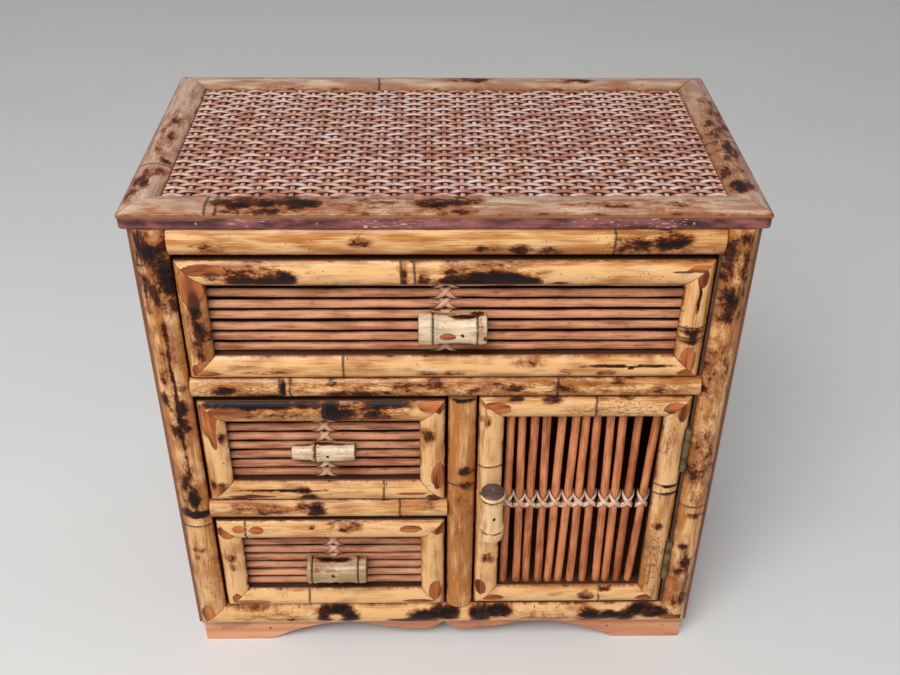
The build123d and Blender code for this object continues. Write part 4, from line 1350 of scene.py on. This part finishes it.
def weave_finish(name):
    """Varnished flat rattan whose colour changes along each strand."""
    finish, tree, shader = start_finish(name, Specular_IOR_Level=0.22)
    grain = on_grain(tree)
    fibre = streaks(tree, grain, 18.0, 0.4, 3.0)
    blot = streaks(tree, grain, 9.0, 6.0, 3.0)
    tone = varied_tone(tree, (blot, 3.0), (fibre, 1.5))
    # The rosy cast is partly the rattan's colour and partly a painted sheen of the sky.
    cast = fade(tree, streaks(tree, grain, 12.0, 5.0), 0.38, 0.62)
    pale = tint(tree, cast, WEAVE_TAN, WEAVE_ROSY_SHEEN)
    face = tint(tree, fade(tree, tone, 0.0, 1.0), pale, WEAVE_DEEP)
    # Painted shade: near black where a strand dips and along its edges.
    shade_and_soil = fade(tree, painted(tree, "raw"), 0.44, 0.95)
    face = tint(tree, times(tree, shade_and_soil, 0.96), face, WEAVE_SHADE)
    wire(tree, shader, face, scaled(tree, fibre, 0.2, 0.36), fibre, 0.15)
    return finish


woven_rattan = weave_finish("woven_rattan")
print("weave finish:", woven_rattan.name)

# %% One woven strand
WEAVE_THICK = 0.55
WEAVE_LIFT = 1.3
WEAVE_EDGE_SHADE = 0.92
weave_low, weave_high = box_mm("woven_panel")
weave_middle = (weave_low + weave_high) / 2
weave_size = weave_high - weave_low
weave_base = weave_low.z + WEAVE_LIFT
print("woven panel:", round(weave_size.x, 1), "by", round(weave_size.y, 1), "mm")


def woven_strand(length, width, steps, crown, tone, follow):
    """A thin ribbon along X; follow gives its sideways and upward shift, and its painted shade where it dips,
    at a distance along.
    """
    shape = bmesh.new()
    bmesh.ops.create_grid(shape, x_segments=steps, y_segments=4, size=0.5)
    bmesh.ops.scale(shape, vec=(length, width, 1), verts=shape.verts)

    def values(point):
        at_edge = abs(2 * point.co.y / width)
        dip_shade = follow(point.co.x)[2]
        return {"tone": tone, "raw": max(dip_shade, WEAVE_EDGE_SHADE * at_edge ** 1.5)}

    paint(shape, values, lambda point, face: (point.x, point.y), dice.uniform(0, GRAIN_STRAY))
    for point in shape.verts:
        sideways, rise, _ = follow(point.co.x)
        arch = crown * (1 - (2 * point.co.y / width) ** 2)
        point.co.y += sideways
        point.co.z = rise + arch
    bmesh.ops.solidify(shape, geom=shape.faces[:], thickness=WEAVE_THICK)
    bmesh.ops.recalc_face_normals(shape, faces=shape.faces)
    return shape


# %% Splints and stakes
SPLINT_ROWS, STAKES = 36, 33
SPLINT_WIDTH, SPLINT_CROWN, SPLINT_WAVE, SPLINT_STRAY = 3.7, 0.22, 0.62, 0.3
STAKE_WIDTH, STAKE_CROWN, STAKE_WAVE, STAKE_STRAY = 2.9, 0.5, 0.3, 0.4
STAKE_DROP = 0.25
STEPS_A_STAKE = 6
STEPS_A_ROW = 4
PALE_SHIFT = 0.3
stake_pitch = weave_size.x / STAKES
row_pitch = weave_size.y / SPLINT_ROWS


def splint(row):
    """One splint from side to side; every sixth is paler."""
    seed = dice.uniform(0, 50)
    tone = dice.gauss(0.55, 0.12) - (PALE_SHIFT if row % 6 == 4 else 0.0)

    def follow(along):
        phase = math.pi * (along + weave_size.x / 2) / stake_pitch - math.pi / 2 + math.pi * (row % 2)
        sideways = SPLINT_STRAY * noise.noise(Vector((along * 0.03, seed, 1.0)))
        # The third number is painted shade where the splint dips under a stake.
        return sideways, math.cos(phase) * SPLINT_WAVE, (0.5 - 0.5 * math.cos(phase)) ** 1.6

    steps = STAKES * STEPS_A_STAKE
    shape = woven_strand(weave_size.x, SPLINT_WIDTH, steps, SPLINT_CROWN, clamp(tone, -0.2, 1.0), follow)
    row_place = weave_low.y + row_pitch * (row + 0.5)
    bmesh.ops.translate(shape, vec=(weave_middle.x, row_place, weave_base), verts=shape.verts)
    return shape


def stake(index):
    """One stake from front to back."""
    seed = dice.uniform(0, 50)
    tone = dice.gauss(0.7, 0.1)

    def follow(along):
        phase = math.pi * (along + weave_size.y / 2) / row_pitch - math.pi / 2
        swell = -math.cos(phase) * math.cos(math.pi * index)
        sideways = STAKE_STRAY * noise.noise(Vector((along * 0.02, seed, 2.0)))
        # The third number is painted shade where the stake dips under a splint.
        return sideways, swell * STAKE_WAVE - STAKE_DROP, 0.55 - 0.55 * swell

    steps = SPLINT_ROWS * STEPS_A_ROW
    shape = woven_strand(weave_size.y, STAKE_WIDTH, steps, STAKE_CROWN, clamp(tone, 0.3, 1.0), follow)
    bmesh.ops.rotate(shape, matrix=Matrix.Rotation(math.pi / 2, 3, "Z"), verts=shape.verts)
    stake_place = weave_low.x + stake_pitch * (index + 0.5)
    bmesh.ops.translate(shape, vec=(stake_place, weave_middle.y, weave_base), verts=shape.verts)
    return shape


splints = join([splint(row) for row in range(SPLINT_ROWS)])
splints = finish_piece("rattan_splints", splints, woven_rattan, "case", "woven_rattan", "woven_panel")
stakes = join([stake(index) for index in range(STAKES)])
stakes = finish_piece("rattan_stakes", stakes, woven_rattan, "case", "woven_rattan")
print("weave faces:", len(splints.data.polygons), len(stakes.data.polygons))

# %% [markdown]
# ## Pulls and knob
# Each pull is a short piece of thin bamboo with its back cut flat. Its outline, with a swelling at each
# ring and hollow ends, is spun once round its length, and a plane cuts the flat back. No two are alike, so
# each has a plan: its profile gives the radius at places along it, and its marks are measured along it and
# up round it from its front, in millimetres.

# %% Outline of a pull
PULL_STEP = 0.8
PULL_RING_CUTS = (-0.4, 0.0, 0.4)
PULL_INSET = 0.5
HOLLOW_DEPTH = 2.2
HOLLOW_WALL = 2.4
RIM = 0.6
# At each ring: height, place past the ring and width of a swelling, a groove and a smaller swelling.
PULL_RING = ((0.30, 1.3, 0.7), (-0.75, 0.0, 0.5), (0.2, -1.4, 0.8))


def pull_radius(along, plan):
    """Radius of a pull at a distance along it."""
    share = along / plan["length"]
    size = 0.0
    for (before, small), (after, large) in zip(plan["profile"], plan["profile"][1:]):
        if before <= share <= after:
            size = small + (large - small) * ease((share - before) / (after - before))
    size *= plan["radius"]
    for line in plan["lines"]:
        size += sum(height * bell(along - line - past, width) for height, past, width in PULL_RING)
    return min(size, plan["radius"])


def pull_outline(plan):
    """Half a lengthwise section: hollow end, rim, skin, rim and hollow end."""
    length = plan["length"]
    first, last = PULL_INSET, length - PULL_INSET
    steps = round((last - first) / PULL_STEP)
    places = [first + (last - first) * step / steps for step in range(steps + 1)]
    places += [line + shift for line in plan["lines"] for shift in PULL_RING_CUTS]
    places = sorted(place for place in places if first <= place <= last)
    start, stop = pull_radius(first, plan), pull_radius(last, plan)
    outline = [(HOLLOW_DEPTH, 0.0), (HOLLOW_DEPTH, start - HOLLOW_WALL - RIM)]
    outline += [(0.0, start - HOLLOW_WALL), (0.0, start - RIM)]
    outline += [(place, pull_radius(place, plan)) for place in places]
    outline += [(length, stop - RIM), (length, stop - HOLLOW_WALL)]
    return outline + [(length - HOLLOW_DEPTH, stop - HOLLOW_WALL - RIM), (length - HOLLOW_DEPTH, 0.0)]


# %% Spun pull
PULL_TURNS = 72
SPIN_WELD = 0.01
PULL_RING_SOFT = 0.6
END_RAW = 0.3
HOLLOW_SHARE = 0.7
PULL_GRAIN_STEP = 17.0


def spun(outline, axis, turns, flat_at, flat_facing):
    """Spin an outline once round an axis, then cut one side flat."""
    shape = bmesh.new()
    dots = [shape.verts.new(point) for point in outline]
    for before, after in zip(dots, dots[1:]):
        shape.edges.new((before, after))
    bmesh.ops.spin(
        shape, geom=shape.verts[:] + shape.edges[:], axis=axis, cent=(0, 0, 0), steps=turns, angle=math.tau,
        use_merge=True,
    )
    bmesh.ops.remove_doubles(shape, verts=shape.verts, dist=SPIN_WELD)
    slice_plane(shape, flat_at, flat_facing, clear=True)
    bmesh.ops.holes_fill(shape, edges=open_edges(shape), sides=0)
    bmesh.ops.recalc_face_normals(shape, faces=shape.faces)
    return shape


def bamboo_pull(plan):
    """A pull along X whose flat back faces down Z."""
    length, radius = plan["length"], plan["radius"]
    outline = [(along, 0, out) for along, out in pull_outline(plan)]
    shape = spun(outline, RIGHTWARD, PULL_TURNS, (0, 0, -plan["back"] * radius), -UPWARD)

    def values(point):
        along, across, out = point.co
        up_round = math.atan2(across, out) * radius
        found = {kind: spot_field(plan["marks"].get(kind, ()), along, up_round) for kind in MARK_KINDS}
        found["ring"] = max([bell(along - line, PULL_RING_SOFT) for line in plan["lines"]], default=0.0)
        at_end = along < END_RAW or along > length - END_RAW
        skin_radius = pull_radius(clamp(along, PULL_INSET, length - PULL_INSET), plan)
        inside = math.hypot(across, out) < HOLLOW_SHARE * skin_radius
        found["raw"] = 1.0 if at_end or inside else 0.0
        found["tone"] = plan["tone"]
        return found

    def unroll(point, face):
        return point.x, turn_round(point, face) * radius - math.hypot(point.y, point.z)

    paint(shape, values, unroll, PULL_GRAIN_STEP * length + radius)
    return shape


# %% Pulls on the drawers and knob on the door
PULL_BACK = 0.7
KNOB_BACK = 0.81
# Under scorch, the bands high round each drawer pull darken it along its upper side, and the small marks of
# strength 1.8 are dark dots at its nail hole.
PULLS = {
    "top_drawer_pull": {
        "profile": ((0, 0.95), (0.21, 1.0), (0.31, 0.93), (0.55, 0.91), (0.78, 0.94), (0.87, 1.0), (1, 0.96)),
        "rings": (0.215, 0.86), "tone": 0.22,
        "marks": {
            "scorch": [
                (26, 13, 8, 2.0, 1.05), (32, 15, 4, 3, 0.8), (11, 16, 9, 2, 0.6),
                (24.1, 0.7, 0.9, 0.9, 1.8), (21.5, 0.5, 2.8, 0.4, 1.1), (34, 6, 1.5, 6, 0.4),
                (22, 11, 3, 1, 0.5),
            ],
            "peel": [(16, -0.2, 4.2, 2.3, 1.3), (36.6, -1.5, 1.2, 1.8, 1.2)],
        },
    },
    "upper_drawer_pull": {
        "profile": ((0, 0.76), (0.30, 0.81), (0.38, 1.0), (0.50, 0.94), (1, 0.86)),
        "rings": (0.38,), "tone": 0.2,
        "marks": {
            "scorch": [(19, 10.2, 20, 1.8, 0.72), (13.5, 5, 1.2, 6, 0.45), (21.6, 0.5, 0.8, 0.8, 1.8)],
            "speck": [(20, 4, 15, 6, 0.3)],
        },
    },
    "lower_drawer_pull": {
        "profile": ((0, 0.98), (0.09, 1.0), (0.22, 0.94), (0.5, 0.92), (0.75, 0.94), (0.87, 1.0), (1, 0.97)),
        "rings": (0.09, 0.86), "tone": 0.72,
        "marks": {
            "scorch": [
                (16, 15, 13, 2.8, 1.05), (33, 15.5, 4, 2, 0.6), (17, 2.2, 0.9, 0.8, 1.8),
                (10, 7, 7, 3, 0.3),
            ],
            "speck": [(14, 5, 12, 8, 0.4)],
        },
    },
    "door_knob": {
        "profile": (
            (0, 0.92), (0.1, 0.97), (0.2, 0.96), (0.36, 0.86), (0.6, 0.82), (0.8, 0.88), (0.91, 0.97),
            (0.96, 1.0), (1, 0.95),
        ),
        "rings": (0.2, 0.91), "tone": 0.15,
        "marks": {"scorch": [(19.8, -1.4, 0.9, 0.9, 1.8), (33, 0, 0.8, 12, 0.4), (8, 2, 1, 10, 0.35)]},
    },
}
for node_name, plan in PULLS.items():
    low, high = box_mm(node_name)
    middle = (low + high) / 2
    upright = node_name == "door_knob"
    plan["back"] = KNOB_BACK if upright else PULL_BACK
    plan["length"] = extent(node_name, Z if upright else X)
    plan["radius"] = extent(node_name, Y) / (1 + plan["back"])
    plan["lines"] = [share * plan["length"] for share in plan["rings"]]
    core = low.y + plan["radius"]
    start = Vector((middle.x, core, low.z)) if upright else Vector((low.x, core, middle.z))
    shape = bamboo_pull(plan)
    place = laid(start, UPWARD if upright else RIGHTWARD, FRONTWARD)
    bmesh.ops.transform(shape, matrix=place, verts=shape.verts)
    body = "door" if upright else node_name.removesuffix("_pull")
    finish = knob_bamboo if upright else pull_bamboo
    finish_piece(f"bamboo_{node_name}", shape, finish, body, "pull_bamboo", node_name)
    print(node_name, "radius", round(plan["radius"], 2), "length", round(plan["length"], 2))

# %% [markdown]
# ## Cap of the knob
# A thin disc of dark wood closes the knob's head, with a torn nub at its left and one nail. The disc is an
# outline that is spun round and cut flat at the back, like the knob. The nub is a ball dented by noise.

# %% Cap finish
CAP_DARK, CAP_PALE = colour(0.045, 0.026, 0.026), colour(0.115, 0.07, 0.068)

cap_wood, cap_tree, cap_shader = start_finish("cap_wood", Roughness=0.5)
cap_grain = streaks(cap_tree, on_object(cap_tree), 8.0, 1.2, 4.0, OBJECT_UNIT)
cap_face = tint(cap_tree, fade(cap_tree, cap_grain, 0.3, 0.7), CAP_DARK, CAP_PALE)
wire(cap_tree, cap_shader, cap_face, height=cap_grain, depth=0.25)
print("cap finish:", cap_wood.name)

# %% Cap with its nub and its nail
CAP_OUTLINE = (
    (0.0, 0.0), (6.7, 0.0), (7.0, 0.3), (6.95, 0.8), (6.5, 1.15), (4.0, 1.38), (1.5, 1.48), (0.0, 1.5),
)
CAP_TURNS = 48
NUB_DENT = 0.35
NUB_SIZE = (1.7, 1.3, 0.75)
NUB_PLACE = (-6.6, -1.5, 0.4)
CAP_NAIL = Vector((0.3, 0.3, 1.42))
nails = {body: [] for body in frame["bodies"]}


def nail_head(place, facing, radius, rise):
    """A low round nail head; a little of it shows."""
    shape = bmesh.new()
    bmesh.ops.create_uvsphere(shape, u_segments=10, v_segments=6, radius=radius)
    bmesh.ops.scale(shape, vec=(1, 1, rise / radius), verts=shape.verts)
    side = facing.orthogonal().normalized()
    bmesh.ops.transform(shape, matrix=laid(place, side, facing), verts=shape.verts)
    return shape


knob = PULLS["door_knob"]
cap_low, cap_high = box_mm("door_knob_cap")
knob_core = box_mm("door_knob")[0].y + knob["radius"]
cap_middle = Vector(((cap_low.x + cap_high.x) / 2, knob_core, cap_low.z))
cap_flat = (0, knob["back"] * knob["radius"], 0)
cap = spun([(out, 0, rise) for out, rise in CAP_OUTLINE], UPWARD, CAP_TURNS, cap_flat, (0, 1, 0))
nub = bmesh.new()
bmesh.ops.create_icosphere(nub, subdivisions=3, radius=1.0)
for point in nub.verts:
    point.co *= 1 + NUB_DENT * noise.noise(point.co * 1.7)
bmesh.ops.scale(nub, vec=NUB_SIZE, verts=nub.verts)
bmesh.ops.translate(nub, vec=NUB_PLACE, verts=nub.verts)
cap = join([cap, nub])
bmesh.ops.translate(cap, vec=cap_middle, verts=cap.verts)
cap = finish_piece("knob_cap", cap, cap_wood, "door", "cap_wood", "door_knob_cap")
nails["door"].append(nail_head(cap_middle + CAP_NAIL, UPWARD, 1.0, 0.35))
print("cap faces:", len(cap.data.polygons))

# %% [markdown]
# ## Boards, boxes, slats and hinges
# Flat boards and the hinges need no new shape: their CAD nodes are already right. They get materials
# whose grain runs along a chosen axis of the object. Where the grain runs from side to side, it is turned
# on faces that look sideways, so that they don't show it end on. The drawer boxes' front walls are
# painted near black, a painted shade, since they show between the rods. The boards inside the chest
# and behind its facing are painted dark too: painted shade for its inside and for the gaps in the weave.

# %% Wood finishes
GRAIN_ORDER = {"X": (0, 1, 2), "Y": (1, 0, 2), "Z": (2, 0, 1)}
WOOD_SOIL = colour(0.035, 0.016, 0.01)
WALL_SHADE = colour(0.010, 0.006, 0.005)
WALL_FADE = 0.5


def split(tree, vector):
    """The three numbers of a vector, one by one."""
    return add(tree, "ShaderNodeSeparateXYZ", None, {0: vector}).outputs


def grain_along(tree, axis):
    """Object coordinates turned so that their X runs along the grain."""
    numbers = split(tree, on_object(tree))
    feeds = {slot: numbers[part] for slot, part in enumerate(GRAIN_ORDER[axis])}
    return add(tree, "ShaderNodeCombineXYZ", None, feeds).outputs[0]


def wood_finish(name, axis, pale, dark, wear, rough=0.5, shade_before=None):
    """Stained wood: broad figure, fine pores, handling marks, and painted shade, near black, in front of a
    depth.
    """
    finish, tree, shader = start_finish(name)
    vector = grain_along(tree, axis)
    if axis == "X":
        sideways = split(tree, add(tree, "ShaderNodeTexCoord").outputs["Normal"])[0]
        is_side = calc(tree, "GREATER_THAN", calc(tree, "ABSOLUTE", sideways), 0.5)
        feeds = {0: is_side, 4: vector, 5: grain_along(tree, "Y")}
        vector = add(tree, "ShaderNodeMix", {"data_type": "VECTOR"}, feeds).outputs[1]
    figure = streaks(tree, vector, 140.0, 7.0, 4.0, OBJECT_UNIT)
    pores = streaks(tree, vector, 9.0, 0.5, 2.0, OBJECT_UNIT)
    shade_and_soil = fade(tree, streaks(tree, vector, 30.0, 14.0, 4.0, OBJECT_UNIT), 0.52, 0.74)
    face = tint(tree, fade(tree, figure, 0.3, 0.7), pale, dark)
    face = tint(tree, times(tree, fade(tree, pores, 0.56, 0.7), 0.45), face, dark)
    face = tint(tree, times(tree, shade_and_soil, wear), face, WOOD_SOIL)
    # Painted shade: near black in front of the given depth, where the wall shows between the rods.
    if shade_before is not None:
        depth = split(tree, on_object(tree))[1]
        behind = fade(tree, depth, shade_before * MM, (shade_before + WALL_FADE) * MM)
        face = tint(tree, behind, WALL_SHADE, face)
    wire(tree, shader, face, scaled(tree, pores, 0.2, rough - 0.1), times(tree, pores, -1.0), 0.2)
    return finish


# %% Woods of the chest
STAIN_PALE, STAIN_DARK = colour(0.25, 0.085, 0.03), colour(0.12, 0.034, 0.013)
BOX_PALE, BOX_DARK = colour(0.47, 0.28, 0.15), colour(0.30, 0.15, 0.07)
INSIDE_SHADE_PALE, INSIDE_SHADE_DARK = colour(0.10, 0.045, 0.024), colour(0.05, 0.02, 0.012)
SLAT_PALE, SLAT_DARK = colour(0.075, 0.028, 0.014), colour(0.034, 0.012, 0.007)
PLINTH_PALE, PLINTH_DARK = colour(0.76, 0.355, 0.18), colour(0.48, 0.165, 0.070)
WALL_DEPTH = 14.0

upright_board = wood_finish("stained_upright", "Z", STAIN_PALE, STAIN_DARK, 0.4)
# Dark boards inside the chest and behind its facing: painted shade for the inside and the gaps in the weave.
level_board = wood_finish("dark_level", "X", INSIDE_SHADE_PALE, INSIDE_SHADE_DARK, 0.4)
dark_slat = wood_finish("dark_slat", "X", SLAT_PALE, SLAT_DARK, 0.4)
dark_slat_upright = wood_finish("dark_slat_upright", "Z", SLAT_PALE, SLAT_DARK, 0.4)
box_wood = wood_finish("box_wood", "X", BOX_PALE, BOX_DARK, 0.25, 0.6, FRONT + WALL_DEPTH)
plinth_wood = wood_finish("plinth_wood", "X", PLINTH_PALE, PLINTH_DARK, 0.5)
print("woods:", upright_board.name, level_board.name, dark_slat.name, box_wood.name, plinth_wood.name)

# %% [markdown]
# ## Painted edge
# The moulding round the top is painted a cloudy dark red, and scratches in it show pale. One noise could
# draw the scratches alone, but then they would lie everywhere; a second, broader one says where they may be.

# %% Paint on the moulding
PAINT_DARK, PAINT_RED = colour(0.048, 0.012, 0.012), colour(0.31, 0.100, 0.093)
PAINT_WORN = colour(0.62, 0.50, 0.48)


def edge_finish(name):
    """Cloudy paint with scratches in some places."""
    finish, tree, shader = start_finish(name, Coat_Weight=0.05, Specular_IOR_Level=0.25)
    where = on_object(tree)
    cloud = streaks(tree, where, 22.0, 6.0, 4.0, OBJECT_UNIT)
    face = tint(tree, fade(tree, cloud, 0.34, 0.68), PAINT_DARK, PAINT_RED)
    scratch = fade(tree, streaks(tree, where, 4.0, 0.7, 4.0, OBJECT_UNIT), 0.59, 0.69)
    region = fade(tree, streaks(tree, where, 60.0, 30.0, 2.0, OBJECT_UNIT), 0.48, 0.62)
    face = tint(tree, times(tree, scratch, region), face, PAINT_WORN)
    wire(tree, shader, face, scaled(tree, cloud, 0.25, 0.34), cloud, 0.4)
    return finish


painted_edge = edge_finish("painted_edge")
print("paint:", painted_edge.name)

# %% [markdown]
# ## Brass and iron
# The hinges are old brass and the nails are iron. Both are bright where they are rubbed and brown
# elsewhere, so one function makes both: noise mixes a bright and a dull colour, and the dull is rougher.

# %% Metals
def metal_finish(name, bright, dull, rough):
    """Old metal: bright where it is rubbed, dull and brown where it isn't."""
    finish, tree, shader = start_finish(name, Metallic=0.8)
    tarnish = fade(tree, streaks(tree, on_object(tree), 9.0, 7.0, 4.0, OBJECT_UNIT), 0.34, 0.70)
    wire(tree, shader, tint(tree, tarnish, bright, dull), scaled(tree, tarnish, 0.3, rough))
    return finish


aged_brass = metal_finish("aged_brass", colour(0.24, 0.18, 0.09), colour(0.10, 0.07, 0.036), 0.45)
nail_iron = metal_finish("nail_iron", colour(0.34, 0.30, 0.27), colour(0.07, 0.04, 0.03), 0.38)
print("metals:", aged_brass.name, nail_iron.name)

# %% [markdown]
# ## Dressing the CAD nodes
# Each CAD node that stays takes its finish in every material slot. A real board's arrises are never
# sharp, so a fine bevel modifier softens those that catch the light, without changing the CAD mesh itself.

# %% Materials and soft arrises on the CAD nodes
CAD_FINISHES = {
    upright_board: ("side_board_left", "side_board_right", "back_board"),
    level_board: (
        "bottom_board", "middle_shelf", "small_shelf", "drawer_guides", "top_board", "face_frame",
        "partition", "rear_posts", "door_stop",
    ),
    dark_slat: tuple(f"{name}_slats" for name in DRAWERS),
    dark_slat_upright: ("door_slats",),
    box_wood: tuple(f"{name}_{part}" for name in DRAWERS for part in ("box", "bottom")),
    plinth_wood: ("front_apron", "plinth_boards"),
    painted_edge: ("top_moulding",),
    aged_brass: ("hinge_case_leaves", "hinge_door_leaves", "hinge_pins"),
}
ARRIS = {"front_apron": 0.7, "side_board_left": 0.5, "side_board_right": 0.5, "plinth_boards": 0.5}
for finish, node_names in CAD_FINISHES.items():
    for node_name in node_names:
        board = cad_nodes[node_name]
        for slot_number in range(len(board.data.materials)):
            board.data.materials[slot_number] = finish
        if node_name in ARRIS:
            soft = board.modifiers.new("soft_arris", "BEVEL")
            soft.width = ARRIS[node_name] * MM
            soft.segments = 2
            soft.limit_method = "ANGLE"
print("CAD nodes dressed:", sum(len(names) for names in CAD_FINISHES.values()))

# %% [markdown]
# ## Nails
# Small nails hold the moulding, the apron and the side boards. They are low domes, set half into the
# wood. With the nail of the knob's cap, they are joined to one piece for each body.

# %% Nail heads
NAIL_RADIUS, NAIL_RISE = 0.9, 0.4
MOULDING_SINK, WOOD_SINK = 0.1, 0.05
MOULDING_NAILS = (-128, -66, -12, 60, 128)
APRON_NAILS, APRON_NAIL_HEIGHT = (-150, -118, 112, 150), 11.0
SIDE_NAIL_HEIGHTS, SIDE_NAIL_DEPTHS = (40, 130, 220, 310), (7, 168)

moulding_low, moulding_high = box_mm("top_moulding")
moulding_middle = (moulding_low.z + moulding_high.z) / 2
heads = [(Vector((x, moulding_low.y + MOULDING_SINK, moulding_middle)), FRONTWARD) for x in MOULDING_NAILS]
heads += [(on_front(x, APRON_NAIL_HEIGHT) - FRONTWARD * WOOD_SINK, FRONTWARD) for x in APRON_NAILS]
for side, outward in (("left", -RIGHTWARD), ("right", RIGHTWARD)):
    low, high = box_mm(f"side_board_{side}")
    outer = low.x + WOOD_SINK if side == "left" else high.x - WOOD_SINK
    for z in SIDE_NAIL_HEIGHTS:
        heads += [(Vector((outer, FRONT + depth, z)), outward) for depth in SIDE_NAIL_DEPTHS]
nails["case"] += [nail_head(place, facing, NAIL_RADIUS, NAIL_RISE) for place, facing in heads]
for body, shapes in nails.items():
    if shapes:
        finish_piece(f"nails_{body}", join(shapes), nail_iron, body, "aged_brass")
print("nails:", {body: len(shapes) for body, shapes in nails.items()})

# %% [markdown]
# ## Measuring the result
# The dressed chest must fill the same box as the CAD part, so both sizes are printed at the end.

# %% Sizes and finish
dressed_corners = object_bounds()
sizes = {"cad": cad_corners, "dressed": dressed_corners}
sizes = {name: [[float(value) for value in corner] for corner in pair] for name, pair in sizes.items()}
print(sizes)
